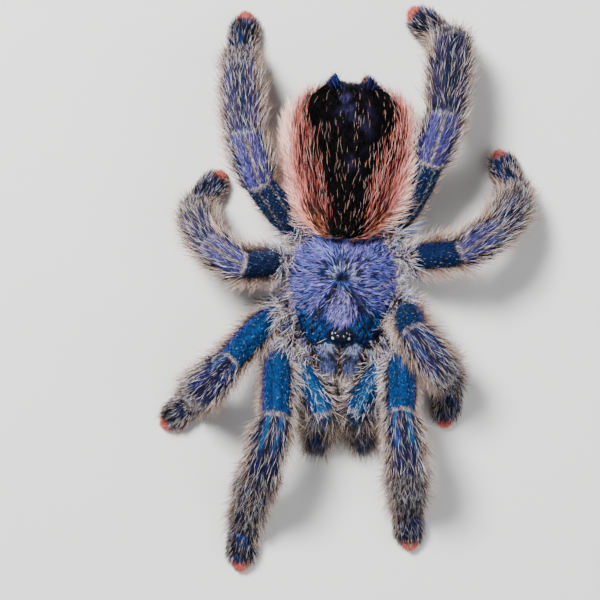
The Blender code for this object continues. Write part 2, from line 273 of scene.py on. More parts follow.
def limb_spines(limb):
    """The middle line of each piece of a limb, from the body outwards."""
    nodes = [f"{limb}_{piece}" for piece in pieces_of(limb)]
    joints = [(cut_centre(near, far) + cut_centre(far, near)) / 2 for near, far in zip(nodes, nodes[1:])]
    points, _ = solid(nodes[0])
    root = points[np.argmin(np.linalg.norm((points - box_centre("cephalothorax"))[:, :2], axis=1))]
    root = points[np.linalg.norm(points - root, axis=1) < 1.6 * MM].mean(0)
    lines = [middle_line(nodes[0], root, joints[0], 6)]
    for node, start, end in zip(nodes[1:], joints, joints[1:]):
        bent = limb.startswith("palp")
        lines.append(middle_line(node, start, end, 4) if bent else np.array((start, end)))
    points, _ = solid(nodes[-1])
    ankle = joints[-1]
    farthest = points[np.argmax(np.linalg.norm(points - ankle, axis=1))]
    way = unit(points.mean(0) - ankle)
    lines.append(np.array((ankle, ankle + way * ((farthest - ankle) @ way))))
    return dict(zip(pieces_of(limb), lines))


def nearest_on_line(points, line, beyond=False):
    """Nearest point of a polyline, its way there and its share of the length."""
    starts, ways = line[:-1], np.diff(line, axis=0)
    lengths = np.linalg.norm(ways, axis=1)
    reached = np.concatenate([[0], np.cumsum(lengths)])
    best = np.full(len(points), np.inf)
    nearest, tangent, share = np.zeros_like(points), np.zeros_like(points), np.zeros(len(points))
    for index, (start, way, length) in enumerate(zip(starts, ways, lengths)):
        low = -9 if beyond and index == 0 else 0
        high = 9 if beyond and index == len(ways) - 1 else 1
        along = np.clip((points - start) @ way / length ** 2, low, high)
        foot = start + along[:, None] * way
        gap = np.linalg.norm(points - foot, axis=1)
        closer = gap < best
        best[closer] = gap[closer]
        nearest[closer] = foot[closer]
        tangent[closer] = way / length
        share[closer] = (reached[index] + along[closer] * length) / reached[-1]
    return nearest, tangent, share


def head_frame():
    """Middle of the eye tubercle, the fovea behind it, and the head's forward and sideways ways."""
    tubercle = np.array([box_centre(name) for name in EYES]).mean(0)
    low, high = (np.array(corner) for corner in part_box("cephalothorax"))
    fovea = np.array(((low[0] + high[0]) / 2, high[1] - FOVEA_SHARE * (high[1] - low[1]),
                      high[2] - FOVEA_DROP * MM))
    forward = unit((tubercle - fovea) * (1, 1, 0))
    return tubercle, fovea, forward, np.cross(UP, forward)


def abdomen_line():
    """Middle line of the abdomen, from its front to its rear."""
    samples = surface_samples(*solid("abdomen"), ABDOMEN_SAMPLES, 2)
    high, low = samples[:, 1].max(), samples[:, 1].min()
    middles = []
    for share in (0.25, 0.75):
        slab = np.abs(samples[:, 1] - low - share * (high - low)) < 0.5 * MM
        middles.append((samples[slab].max(0) + samples[slab].min(0)) / 2)
    way = unit(middles[1] - middles[0])
    centre = (middles[0] + middles[1]) / 2
    reach = (samples - centre) @ way
    return np.array((centre + way * reach.min(), centre + way * reach.max()))


def chelicera_line(side):
    low, high = (np.array(corner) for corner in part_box(f"chelicera_{side}"))
    middle = (low + high) / 2
    return np.array(((middle[0], high[1], middle[2] + 0.3 * MM), (middle[0], low[1], middle[2] - 0.4 * MM)))


SPINES = {limb: limb_spines(limb) for limb in LIMBS}
TUBERCLE, FOVEA, FORWARD, SIDEWAYS = head_frame()


# ---------------------------------------------------------------- making objects

def select(*items):
    """Selects these objects alone and makes the first one active."""
    bpy.ops.object.select_all(action="DESELECT")
    for item in reversed(items):
        item.select_set(True)
        bpy.context.view_layer.objects.active = item


def mesh_object(name, points, faces):
    mesh = bpy.data.meshes.new(name)
    mesh.from_pydata([tuple(point) for point in points], [], [tuple(face) for face in faces])
    item = bpy.data.objects.new(name, mesh)
    bpy.context.collection.objects.link(item)
    return item


def add_ball(centre, radius, segments=20, rings=12):
    select()
    bpy.ops.mesh.primitive_uv_sphere_add(
        segments=segments, ring_count=rings, radius=radius, location=tuple(centre))
    return bpy.context.object


def apply_modifier(item, kind, **settings):
    modifier = item.modifiers.new(kind.lower(), kind)
    for key, value in settings.items():
        setattr(modifier, key, value)
    select(item)
    bpy.ops.object.modifier_apply(modifier=modifier.name)


def join(items, name):
    select(*items)
    bpy.ops.object.join()
    bpy.ops.object.transform_apply(location=True, rotation=True, scale=True)
    items[0].name = items[0].data.name = name
    return items[0]


def keep(item, name, kind, values):
    """Stores values for each point of a mesh."""
    attribute = item.data.attributes.get(name) or item.data.attributes.new(name, kind, "POINT")
    values = np.ascontiguousarray(values.astype(np.int32 if kind == "INT" else np.float32))
    attribute.data.foreach_set(FIELDS[kind][0], values.ravel())


def keep_markings(item, colours):
    keep(item, "markings", "FLOAT_COLOR", np.column_stack([colours, np.ones(len(colours))]))


def read(item, name, kind):
    """Values stored for each point of a mesh."""
    field, width = FIELDS[kind]
    values = np.empty(len(item.data.vertices) * width, dtype=np.int32 if kind == "INT" else np.float32)
    item.data.attributes[name].data.foreach_get(field, values)
    values = values if kind == "INT" else values.astype(float)
    return values if width == 1 else values.reshape(-1, width)


def point_normals(item):
    normals = np.empty(len(item.data.vertices) * 3, dtype=np.float32)
    item.data.vertices.foreach_get("normal", normals)
    return normals.reshape(-1, 3).astype(float)


# ---------------------------------------------------------------- soft shapes of values

def ramp(low, high, values):
    """0 before low, 1 past high and a soft rise between; it falls where low is the larger."""
    share = np.clip((values - low) / (high - low), 0, 1)
    return share * share * (3 - 2 * share)


def hump(values, middle, reach):
    """1 at the middle, falling softly to 0 either side of it."""
    return np.exp(-((values - middle) / reach) ** 2)


def mottle(points, size, seed):
    """Soft patches of about the given size, from 0 to 1."""
    maker = np.random.default_rng(seed)
    total = np.zeros(len(points))
    for _ in range(9):
        way = unit(maker.normal(size=3)) * maker.uniform(0.6, 1.5)
        total += np.sin(points @ way * (2 * math.pi / size) + maker.uniform(0, 2 * math.pi))
    return np.clip(0.5 + total / 6.5, 0, 1)


def mix(first, second, share):
    """Colours between two colours; the share may differ from point to point."""
    share = np.asarray(share, dtype=float)[..., None]
    return np.asarray(first) * (1 - share) + np.asarray(second) * share


def layered(tone, *layers):
    """A colour with others laid over it in turn, each by its own share."""
    for colour, share in layers:
        tone = mix(tone, colour, share)
    return tone


# ---------------------------------------------------------------- skin

def shrunk(node, line, share):
    """A node's points drawn in towards a line through its middle."""
    points, triangles = solid(node)
    foot, _, _ = nearest_on_line(points, line, beyond=True)
    return foot + (points - foot) * share, triangles


def flesh_parts(settings):
    """Every piece of flesh a little inside its solid: points, triangles, region and limb."""
    parts = []
    for number, limb in enumerate(LIMBS):
        for piece in pieces_of(limb):
            line = SPINES[limb][piece].copy()
            if piece == "tarsus":
                line[:, 2] = TARSUS_CORE
            parts.append((*shrunk(f"{limb}_{piece}", line, getattr(settings, piece)), CODE[piece], number))
    parts.append((*solid("cephalothorax"), CODE["carapace"], -1))
    line = abdomen_line()
    centre = line[0] * 0.85 + line[1] * 0.15
    points, triangles = solid("abdomen")
    parts.append((centre + (points - centre) * settings.abdomen, triangles, CODE["abdomen"], -1))
    for side in SIDES:
        points, triangles = shrunk(f"chelicera_{side}", chelicera_line(side), settings.chelicera)
        low = points[:, 2].min()
        points[:, 2] = low + (points[:, 2] - low) * settings.jaw_height
        parts.append((points, triangles, CODE["chelicera"], -1))
    return parts


def joint_balls():
    """Round joints that close the bends between the pieces of the limbs, and the abdomen's stalk."""
    balls = []
    for limb, spine in SPINES.items():
        radii = [radius * PALP_GIRTH for radius in PALP_BALLS] if limb.startswith("palp") else LEG_BALLS
        for line, radius in zip(spine.values(), (HIP_BALL, *radii)):
            balls.append(add_ball(line[0], radius * MM))
    return balls + [add_ball(abdomen_line()[0] + (0, -0.2 * MM, -1.6 * MM), 1.9 * MM)]


def head_relief(points):
    """How far the carapace sinks or swells at each point, in metres."""
    ahead, across = (points - FOVEA) @ FORWARD / MM, (points - FOVEA) @ SIDEWAYS / MM
    spread, beside = np.hypot(ahead, across), np.abs(across)
    top = np.clip((points[:, 2] - FOVEA[2]) / MM + 3.2, 0, 1)
    pit = PIT_DEPTH * hump(spread, 0, 0.65)
    furrow_gap = np.abs(beside - FURROW_SLOPE * ahead) / math.hypot(1, FURROW_SLOPE)
    furrow = FURROW_DEPTH * hump(furrow_gap, 0, 0.42) * ramp(0.2, 1.2, ahead) * ramp(5.6, 3.6, ahead)
    wedge = WEDGE_HEIGHT * ramp(0.3, 0.9, FURROW_SLOPE * ahead - beside) * ramp(0.8, 2.5, ahead)
    return (wedge - (pit + furrow) - RAY_DEPTH * ray_share(ahead, beside)) * top * MM


def refine_head(item):
    """Finer faces round the eyes, so that the skin can close round each of them."""
    shape = bmesh.new()
    shape.from_mesh(item.data)
    offsets = [(edge, np.array(edge.verts[0].co) - TUBERCLE) for edge in shape.edges]
    near = [edge for edge, offset in offsets if offset @ offset < (2.3 * MM) ** 2]
    bmesh.ops.subdivide_edges(shape, edges=near, cuts=3, use_grid_fill=True)
    shape.to_mesh(item.data)
    shape.free()


def seat_eyes(points):
    """Skin drawn under each eye and raised into a low rim round it."""
    core = TUBERCLE - UP * 1.1 * MM
    for name in EYES:
        centre, radius = box_centre(name), eye_radius(name)
        way = unit(centre - core)
        offset = points - centre
        height = offset @ way
        aside = np.linalg.norm(offset - height[:, None] * way, axis=1)
        near = (aside < radius * 1.9) & (np.abs(height) < radius * 2.5)
        under = near & (aside < radius * 0.93)
        points[under] -= way * np.maximum(height[under] + 0.25 * radius, 0)[:, None]
        rim = near & ~under
        rise = 0.3 * radius * hump(aside[rim] / radius, 1.12, 0.28)
        points[rim] += way * rise[:, None]
    return points


def joint_ring(points, limb, number):
    """1 on a narrow ring round the joint before a piece, 0 away from it."""
    lines = list(SPINES[limb].values())
    before, after = lines[number - 1], lines[number]
    way = unit(unit(after[0] - before[-2]) + unit(after[1] - after[0]))
    offset = points - after[0]
    return ramp(0.42 * MM, 0.25 * MM, np.abs(offset @ way)) * (np.linalg.norm(offset, axis=1) < 3 * MM)


def line_places(points, line):
    """Way along a line, share of its length, and angle round it from the top, at each point."""
    foot, way, share = nearest_on_line(points, line)
    over = unit(UP - (way @ UP)[:, None] * way)
    side = np.cross(way, over)
    out = points - foot
    return way, share, np.arctan2((out * side).sum(1), (out * over).sum(1))


def tag_skin(item, parts):
    """Stores on each point of the skin what it belongs to, where it lies on it and the lie of its hair."""
    points, _ = arrays_of(item)
    samples = [surface_samples(corners, triangles, PART_SAMPLES, 3) for corners, triangles, _, _ in parts]
    owners = np.repeat(np.arange(len(parts)), PART_SAMPLES)
    tree = KDTree(len(owners))
    for index, sample in enumerate(np.concatenate(samples)):
        tree.insert(sample, index)
    tree.balance()
    owner = owners[[tree.find(point)[1] for point in points]]
    region = np.array([part[2] for part in parts])[owner]
    limb = np.array([part[3] for part in parts])[owner]
    along, around, ring = np.zeros((3, len(points)))
    lie = np.zeros_like(points)

    def place_along(mine, line):
        lie[mine], along[mine], around[mine] = line_places(points[mine], line)

    for number, name in enumerate(LIMBS):
        for piece, line in SPINES[name].items():
            mine = (limb == number) & (region == CODE[piece])
            place_along(mine, line)
            around[mine] *= -1 if name.endswith("right") else 1
        for joint in range(1, len(SPINES[name])):
            mine = (limb == number) & (ring == 0)
            ring[mine] = joint_ring(points[mine], name, joint) * (1 if joint == 1 else -1)
    place_along(region == CODE["abdomen"], abdomen_line())
    on_left = points[:, 0] > FOVEA[0] + (points[:, 1] - FOVEA[1]) * -FORWARD[0]
    for side in SIDES:
        place_along((region == CODE["chelicera"]) & (on_left == (side == "left")), chelicera_line(side))
    mine = region == CODE["carapace"]
    offset = points[mine] - FOVEA
    lie[mine] = unit(offset * (1, 1, 0.4))
    along[mine] = np.linalg.norm(offset[:, :2], axis=1) / (7.5 * MM)
    around[mine] = np.arctan2(offset @ SIDEWAYS, offset @ FORWARD)
    values = {"region": region, "limb": limb, "along": along, "around": around, "ring": ring, "lie": lie}
    for name, kind in TAGS.items():
        keep(item, name, kind, values[name])


class TARANTULA_OT_skin(bpy.types.Operator):
    """Build one skin that lies inside the solids of flesh"""
    bl_idname = "tarantula.skin"
    bl_label = "Skin"

    def execute(self, context):
        settings = context.scene.tarantula_skin
        parts = flesh_parts(settings)
        items = [mesh_object("part", points, triangles) for points, triangles, _, _ in parts]
        skin = join(items + joint_balls(), "skin")
        apply_modifier(skin, "REMESH", mode="VOXEL", voxel_size=settings.voxel)
        apply_modifier(skin, "SMOOTH", factor=0.5, iterations=4)
        refine_head(skin)
        apply_modifier(skin, "SMOOTH", factor=0.5, iterations=1)
        tag_skin(skin, parts)
        points, _ = arrays_of(skin)
        head = read(skin, "region", "INT") == CODE["carapace"]
        away = ramp(1.2 * MM, 2.6 * MM, np.linalg.norm(points - TUBERCLE, axis=1))
        depth = head_relief(points[head]) - settings.carapace_depth * away[head]
        points[head] += point_normals(skin)[head] * depth[:, None]
        points = seat_eyes(points)
        points[:, 2] = np.maximum(points[:, 2], LOWEST_SKIN)
        skin.data.vertices.foreach_set("co", points.astype(np.float32).ravel())
        skin.data.update()
        skin.data.shade_smooth()
        keep_markings(skin, markings(skin_places(), context.scene.tarantula_colours) * 0.35)
        skin.data.materials.clear()
        skin.data.materials.append(skin_finish())
        flesh = [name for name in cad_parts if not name.startswith(("eye", "fang"))]
        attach(skin, "root")
        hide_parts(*flesh)
        return {"FINISHED"}


# ---------------------------------------------------------------- shader maths

class Wire:
    """A shader socket that can be added and multiplied as a value."""

    def __init__(self, tree, socket):
        self.tree = tree
        self.socket = socket

    def maths(self, operation, first, second):
        node = self.tree.nodes.new("ShaderNodeMath")
        node.operation = operation
        for socket, value in zip(node.inputs, (first, second)):
            plug(self.tree, socket, value)
        return Wire(self.tree, node.outputs[0])

    def __add__(self, other):
        return self.maths("ADD", self, other)

    def __radd__(self, other):
        return self.maths("ADD", other, self)

    def __mul__(self, other):
        return self.maths("MULTIPLY", self, other)


def plug(tree, socket, value):
    """Links a wire to a socket, or sets the socket to a plain value."""
    if isinstance(value, Wire):
        tree.links.new(value.socket, socket)
    else:
        socket.default_value = value


class Finish:
    """A material under construction."""

    def __init__(self, name):
        self.material = bpy.data.materials.new(name)
        self.material.use_nodes = True
        self.tree = self.material.node_tree
        self.place = None

    def node(self, kind, output=0, settings=None, **values):
        """Adds a node with its settings, then its values and links, and returns one of its outputs."""
        node = self.tree.nodes.new(f"ShaderNode{kind}")
        for key, value in (settings or {}).items():
            setattr(node, key, value)
        for key, value in values.items():
            socket = next(item for item in node.inputs if item.enabled and item.name.replace(" ", "_") == key)
            plug(self.tree, socket, value)
        return Wire(self.tree, node.outputs[output])

    def set(self, **values):
        """Values or links for the sockets of the main shader."""
        for key, value in values.items():
            plug(self.tree, self.tree.nodes["Principled BSDF"].inputs[key.replace("_", " ")], value)

    def noise(self, scale, detail, **values):
        self.place = self.place or self.node("TexCoord", 3)
        return self.node("TexNoise", 0, Vector=self.place, Scale=scale, Detail=detail, **values)

    def blend(self, how, share, first, second):
        """Two colours mixed."""
        return self.node("Mix", 2, {"data_type": "RGBA", "blend_type": how}, Factor=share, A=first, B=second)

    def streaked(self, colour, grain, low, high, dark, light):
        """A colour that grows from dark to light between two levels of a noise."""
        level = self.node("MapRange", 0, Value=grain, From_Min=low, From_Max=high, To_Min=dark, To_Max=light)
        tint = self.node("CombineColor", 0, Red=level, Green=level, Blue=level)
        return self.blend("MULTIPLY", 1.0, colour, tint)


def hair_finish(name, roughness, gloss=0.22):
    """Hair that takes its colour from the piece's markings, with slight streaks of its own."""
    finish = Finish(name)
    colour = finish.node("Attribute", 0, {"attribute_name": "markings"})
    colour = finish.streaked(colour, finish.noise(2600.0, 2.0), 0.3, 0.7, 0.8, 1.15)
    finish.set(Base_Color=colour, Roughness=roughness, Specular_IOR_Level=gloss)
    return finish.material


def skin_finish():
    """Dark skin under the coat: the same markings in shade, with the fine stubble of cut hair."""
    finish = Finish("skin")
    colour = finish.node("Attribute", 0, {"attribute_name": "markings"})
    stubble = finish.noise(3200.0, 3.0, Roughness=0.7)
    folds = finish.noise(420.0, 2.0)
    colour = finish.streaked(colour, stubble, 0.35, 0.65, 0.45, 1.3)
    bump = finish.node("Bump", 0, Strength=0.6, Distance=0.00012, Height=stubble * 0.7 + folds * 0.6)
    finish.set(Base_Color=colour, Roughness=0.62 + stubble * 0.2, Normal=bump, Specular_IOR_Level=0.12)
    return finish.material


# ---------------------------------------------------------------- markings

# Turns in degrees of the grooves of the carapace from straight ahead
RAYS = (58, 92, 128, 165)
# Half width of the black field in radians round the abdomen, at shares of its length from the front
BACK_SHARES = (0.0, 0.1, 0.2, 0.34, 0.5, 0.62, 0.72, 0.8, 0.88)
BACK_ANGLES = (1.0, 0.85, 0.8, 0.88, 1.08, 1.28, 1.5, 2.0, 3.2)
# Painted violet-blue sheen on the black field: strength, share of the length and its reach, angle round and
# its reach
BACK_SHEEN_PATCHES = ((1.0, 0.76, 0.09, -0.1, 0.34), (0.6, 0.64, 0.08, 0.28, 0.2), (0.3, 0.4, 0.06, 0.1, 0.14))


class Places:
    """Points on the skin, with what the coat needs to know of each."""

    def __init__(self, **fields):
        self.__dict__.update(fields)

    def __len__(self):
        return len(self.point)

    def only(self, chosen):
        return Places(**{key: values[chosen] for key, values in self.__dict__.items()})

    def on(self, *regions):
        """1 where a place belongs to one of the regions, 0 elsewhere."""
        return np.isin(self.region, [CODE[name] for name in regions]).astype(float)

    def of(self, *starts):
        """1 where a place belongs to a limb whose name starts in one of these ways, 0 elsewhere."""
        chosen = np.array([name.startswith(starts) for name in LIMBS] + [False])
        return chosen[self.limb].astype(float)


def ray_share(ahead, beside):
    """1 along the faint grooves that run out from the fovea, 0 between them."""
    angle, spread = np.arctan2(beside, ahead), np.hypot(ahead, beside)
    share = sum(hump(np.abs(angle - math.radians(turn)) * spread, 0, 0.34) for turn in RAYS)
    return np.clip(share, 0, 1) * ramp(1.2, 2.4, spread) * ramp(6.8, 5.0, spread)


def head_masks(points):
    """Millimetres ahead of and beside the fovea, and the parts of the carapace that differ."""
    offset = (points - FOVEA) / MM
    ahead, beside = offset @ FORWARD, np.abs(offset @ SIDEWAYS)
    spread = np.hypot(ahead, beside)
    rounded = np.linalg.norm((points - TUBERCLE) * (0.92, 1.15, 1), axis=1)
    furrow = hump(np.abs(beside - 0.68 * ahead) / 1.2, 0, 0.26 + 0.1 * np.maximum(ahead, 0))
    return Places(
        ahead=ahead, beside=beside, spread=spread, rays=ray_share(ahead, beside),
        wedge=ramp(-0.3, 0.4, 0.42 * ahead - beside) * ramp(0.8, 2.5, ahead) * ramp(6.6, 5.6, ahead),
        corner=ramp(2.3, 5.2, ahead) * ramp(1.2, 2.2, beside + 0.6 * np.maximum(ahead - 4.7, 0)),
        # ring: the band just behind the fovea, which gets a painted highlight
        ring=ramp(0.7, 1.0, spread) * ramp(2.3, 1.2, spread) * ramp(0.7, -0.3, ahead),
        furrow=furrow * (ramp(0.4, 1.6, ahead) * ramp(5.2, 4.2, ahead)),
        pit=np.clip(1.6 * hump(beside, 0.38, 0.42) * hump(ahead, 0.0, 0.5), 0, 1),
        stripe=ramp(0.5, 0.2, beside) * ramp(5.0, 5.8, ahead) * ramp(7.0, 6.7, ahead),
        tubercle=ramp(2.0 * MM, 1.4 * MM, rounded),
        rim=np.maximum(ramp(-2.5, -5.5, ahead), ramp(2.6, 4.6, beside)))


def carapace_paint(place, ink):
    mask = head_masks(place.point)
    side = ramp(1.0, 3.0, mask.ahead) * ramp(2.4, 4.0, mask.beside)
    tuft = hump(mask.beside, 0, 0.32) * ramp(6.35, 5.9, mask.ahead)
    return layered(
        mix(ink.blue, ink.violet, ramp(0.3, 0.7, mottle(place.point, 3.2 * MM, 11))),
        (mix(ink.blue, ink.teal, 0.6), 0.85 * mask.rim),
        (mix(ink.violet, ink.mauve, 0.55), 0.8 * mask.wedge),
        (ink.teal, 0.5 * side),
        (mix(ink.teal, ink.deep, ramp(0.2, 0.7, mottle(place.point, 2.4 * MM, 13))), mask.corner),
        (ink.navy, 0.5 * hump(mask.beside, 0, 0.1) * mask.wedge),
        # Painted shade in the sunk grooves that run out from the fovea.
        (ink.deep, 0.6 * mask.rays),
        # Painted highlight: whitish band of hair just behind the fovea, where the light falls.
        (ink.shine, 0.6 * mask.ring),
        # Painted shade in the sunk furrows and in the fovea's pit.
        (ink.black, 0.92 * mask.furrow),
        (ink.black, mask.pit),
        (ink.shine, 0.8 * mask.stripe),
        (ink.black, 0.9 * mask.tubercle * (1 - 0.75 * tuft)),
        (ink.underside, ramp(-0.05, -0.45, place.normal[:, 2])))


def flank_share(place, reach=0.16):
    """0 on the black field of the abdomen's back, 1 on its pink flanks."""
    edge = np.interp(place.along, BACK_SHARES, BACK_ANGLES) + 0.1 * (mottle(place.point, 1.6 * MM, 21) - 0.5)
    return ramp(edge - 0.1, edge + reach, np.abs(place.around))


def abdomen_paint(place, ink):
    side, share = np.abs(place.around), place.along
    # Painted sheen: violet-blue patches where the iridescent hair of the back catches the light.
    patch = ramp(0.35, 0.8, mottle(place.point, 2.0 * MM, 22)) * sum(
        strength * hump(share, middle, reach) * hump(place.around, turn, width)
        for strength, middle, reach, turn, width in BACK_SHEEN_PATCHES)
    back = mix(ink.black, mix(mix(ink.violet, ink.mauve, 0.25), ink.navy, 0.55), 0.6 * np.clip(patch, 0, 1))
    pink = mix(ink.salmon, ink.blush, 0.85 * ramp(1.0, 1.5, side))
    sides = layered(
        mix(ink.black, pink, 0.3 + 0.7 * flank_share(place, 0.55)),
        (ink.peach, ramp(0.2, 0.05, share)),
        (ink.cream, 0.7 * ramp(0.62, 0.85, share) * ramp(0.9, 1.3, side)))
    return layered(
        mix(back, sides, flank_share(place)),
        (mix(ink.navy, ink.black, 0.5), ramp(0.86, 0.9, share)),
        (ink.underside, 0.85 * ramp(1.9, 2.4, side)))


def femur_share(place):
    """Share of a femur's length, set back on the third legs, whose velvet starts farther out."""
    return place.along - 0.09 * place.of("leg3")


def limb_paint(place, ink):
    side, along = place.around, place.along
    beside = np.abs(side)
    palp, front = place.of("palp"), place.of("leg1", "leg2", "palp")
    first = place.of("leg1", "palp") + 0.6 * place.of("leg2")
    velvet = layered(
        mix(mix(ink.deep, ink.navy, 0.7), ink.teal, 0.16 + 0.84 * front - 0.62 * place.of("leg2_left")),
        (ink.violet, 0.85 * ramp(-0.7, -1.15, side) * (0.25 + 0.75 * front)),
        (ink.black, 0.55 * hump(beside, 0.4, 0.09) * front * ramp(0.35, 0.45, along)),
        (ink.cream, 0.8 * hump(beside, 0.5, 0.05) * place.of("leg4") * ramp(0.45, 0.6, along)),
        (ink.cyan, 0.6 * ramp(0.5, 0.2, beside) * palp),
        (mix(ink.underside, ink.mauve, 0.2), ramp(0.4, 0.35, femur_share(place))))
    stripes = hump(beside, 0.45, 0.17) * ramp(0.75, 0.5, along)
    cap = layered(
        mix(ink.navy, ink.violet, 0.4 - 0.25 * first),
        (mix(ink.cyan, ink.violet, 0.3 * (side > 0)), 0.95 * first * stripes),
        (mix(mix(ink.blue, ink.violet, 0.6), ink.mauve, 0.2), 0.9 * (1 - front) * hump(beside, 0.55, 0.3)),
        (ink.black, 0.7 * hump(side, 0, 0.2) * front),
        (ink.cream, 0.75 * hump(side, 0, 0.08) * (1 - front)))
    # Painted blue sheen: soft patches on the dark hair of the shins and the feet.
    patches = ramp(0.45, 0.8, mottle(place.point, 2.6 * MM, 31))
    rear_shin = layered(
        mix(mix(ink.violet, ink.mauve, 0.3), mix(ink.navy, ink.teal, 0.5), hump(side, 0, 0.4)),
        (ink.black, 0.6 * hump(side, 0.12, 0.08)))
    shin = layered(
        mix(ink.navy, ink.black, 0.45),
        (mix(ink.violet, ink.blue, 0.4), (0.22 + 0.2 * place.of("leg2")) * patches),
        (mix(rear_shin, ink.navy, 0.45), 0.85 * (1 - front)),
        (mix(ink.teal, ink.deep, 0.5), 0.9 * palp),
        (ink.black, 0.4 * place.of("leg4_left")))
    ankle = mix(mix(shin, ink.navy, 0.4), ink.tan, 0.2 * (1 - front))
    foot = layered(
        mix(ink.navy, ink.black, 0.3),
        (mix(ink.blue, ink.navy, 0.5), 0.7 * patches),
        (mix(ink.teal, ink.deep, 0.6), 0.9 * palp),
        (ink.toe, ramp(0.72, 0.8, along - palp)))
    tone = np.zeros((len(place), 3))
    for region, paint in zip(LEG_PIECES, (velvet, cap, shin, ankle, foot)):
        mine = place.region == CODE[region]
        tone[mine] = paint[mine]
    worn = 0.35 + 0.65 * ramp(0.3, 0.6, mottle(place.point, 0.9 * MM, 32))
    leg = 1 - place.on("tarsus")
    return layered(
        tone,
        (mix(ink.cream, ink.mauve, 0.3), 0.8 * worn * np.maximum(place.ring, 0)),
        (mix(ink.cream, ink.shine, 0.5), 0.5 * worn * np.maximum(-place.ring, 0) * (1 - front) * leg),
        (ink.underside, 0.75 * (ramp(1.9, 2.5, beside) * leg)))


def chelicera_paint(place, ink):
    share, beside = place.along, np.abs(place.around)
    bend = 0.31 - 0.07 * beside + 0.08 * (mottle(place.point, 0.9 * MM, 41) - 0.5)
    return layered(
        mix(mix(ink.violet, ink.blue, 0.78), ink.shine, 0.22),
        (mix(ink.shine, ink.blue, 0.42) * 0.85, 0.9 * ramp(0.3, 0.14, share)),
        (ink.black, 0.85 * hump(share, bend, 0.075)),
        (mix(ink.navy, ink.mauve, 0.45), 0.85 * ramp(0.52, 0.7, share)),
        (ink.underside, 0.9 * ramp(1.2, 1.6, beside)))


def markings(place, ink):
    """Colour of the coat at places on the body."""
    tone = np.zeros((len(place), 3))
    paints = {"carapace": carapace_paint, "abdomen": abdomen_paint, "chelicera": chelicera_paint}
    for name, code in CODE.items():
        mine = place.region == code
        if mine.any():
            tone[mine] = paints.get(name, limb_paint)(place.only(mine), ink)
    return tone


# ---------------------------------------------------------------- hair

SKIN = {}


def skin_places():
    """Every point of the skin as a place, read once."""
    if not SKIN:
        skin = bpy.data.objects["skin"]
        points, triangles = arrays_of(skin)
        a, b, c = points[triangles].transpose(1, 0, 2)
        SKIN["triangles"] = triangles
        SKIN["area"] = np.linalg.norm(np.cross(b - a, c - a), axis=1) / 2
        tags = {name: read(skin, name, kind) for name, kind in TAGS.items()}
        SKIN["all"] = Places(point=points, normal=point_normals(skin), **tags)
    return SKIN["all"]


def scatter(picker, count, weight):
    """Roots spread over the skin by a weight that each point of it has."""
    everywhere, triangles = skin_places(), SKIN["triangles"]
    chance = weight[triangles].mean(1) * SKIN["area"]
    chosen = picker.choice(len(triangles), count, p=chance / chance.sum())
    shares = corner_shares(picker, count)
    corners = triangles[chosen]
    place = everywhere.only(corners[np.arange(count), shares.argmax(1)])
    for name in ("point", "normal", "lie"):
        values = getattr(everywhere, name)[corners]
        setattr(place, name, (values * shares[:, :, None]).sum(1))
    place.normal = unit(place.normal)
    return place


class Locks:
    """Hairs gathered round some of them into locks, and random values that a lock shares."""

    def __init__(self, picker, place, seeds):
        tree = KDTree(seeds)
        for index in range(seeds):
            tree.insert(place.point[index], index)
        tree.balance()
        self.picker = picker
        self.count = seeds
        self.number = np.array([tree.find(point)[1] for point in place.point])

    def even(self, low=0.0, high=1.0):
        return self.picker.uniform(low, high, self.count)[self.number]

    def bell(self, spread):
        return self.picker.normal(0, spread, self.count)[self.number]


class Coat:
    """The batches of hair of one piece, all drawn from one source of random numbers."""

    def __init__(self, picker):
        self.picker = picker
        self.batches = []

    def root(self, count, weight):
        """Scatters the roots of the next batch over the skin."""
        self.place = scatter(self.picker, count, weight)
        return self.place

    def locks(self, seeds):
        return Locks(self.picker, self.place, seeds)

    def even(self, low=0.0, high=1.0):
        """A value between two bounds for each hair."""
        return self.picker.uniform(low, high, len(self.place))

    def bell(self, spread):
        """A value round 0 for each hair."""
        return self.picker.normal(0, spread, len(self.place))

    def inks(self, colours, chances=None):
        """One of some colours for each hair."""
        return np.array(colours)[self.picker.choice(len(colours), len(self.place), p=chances)]

    def shaded(self, tone, low, high):
        """Each hair a little lighter or darker than its neighbours."""
        return np.asarray(tone) * self.even(low, high)[:, None]

    def grow(self, length, **shape):
        self.batches.append(hairs(self.place, length, **shape))


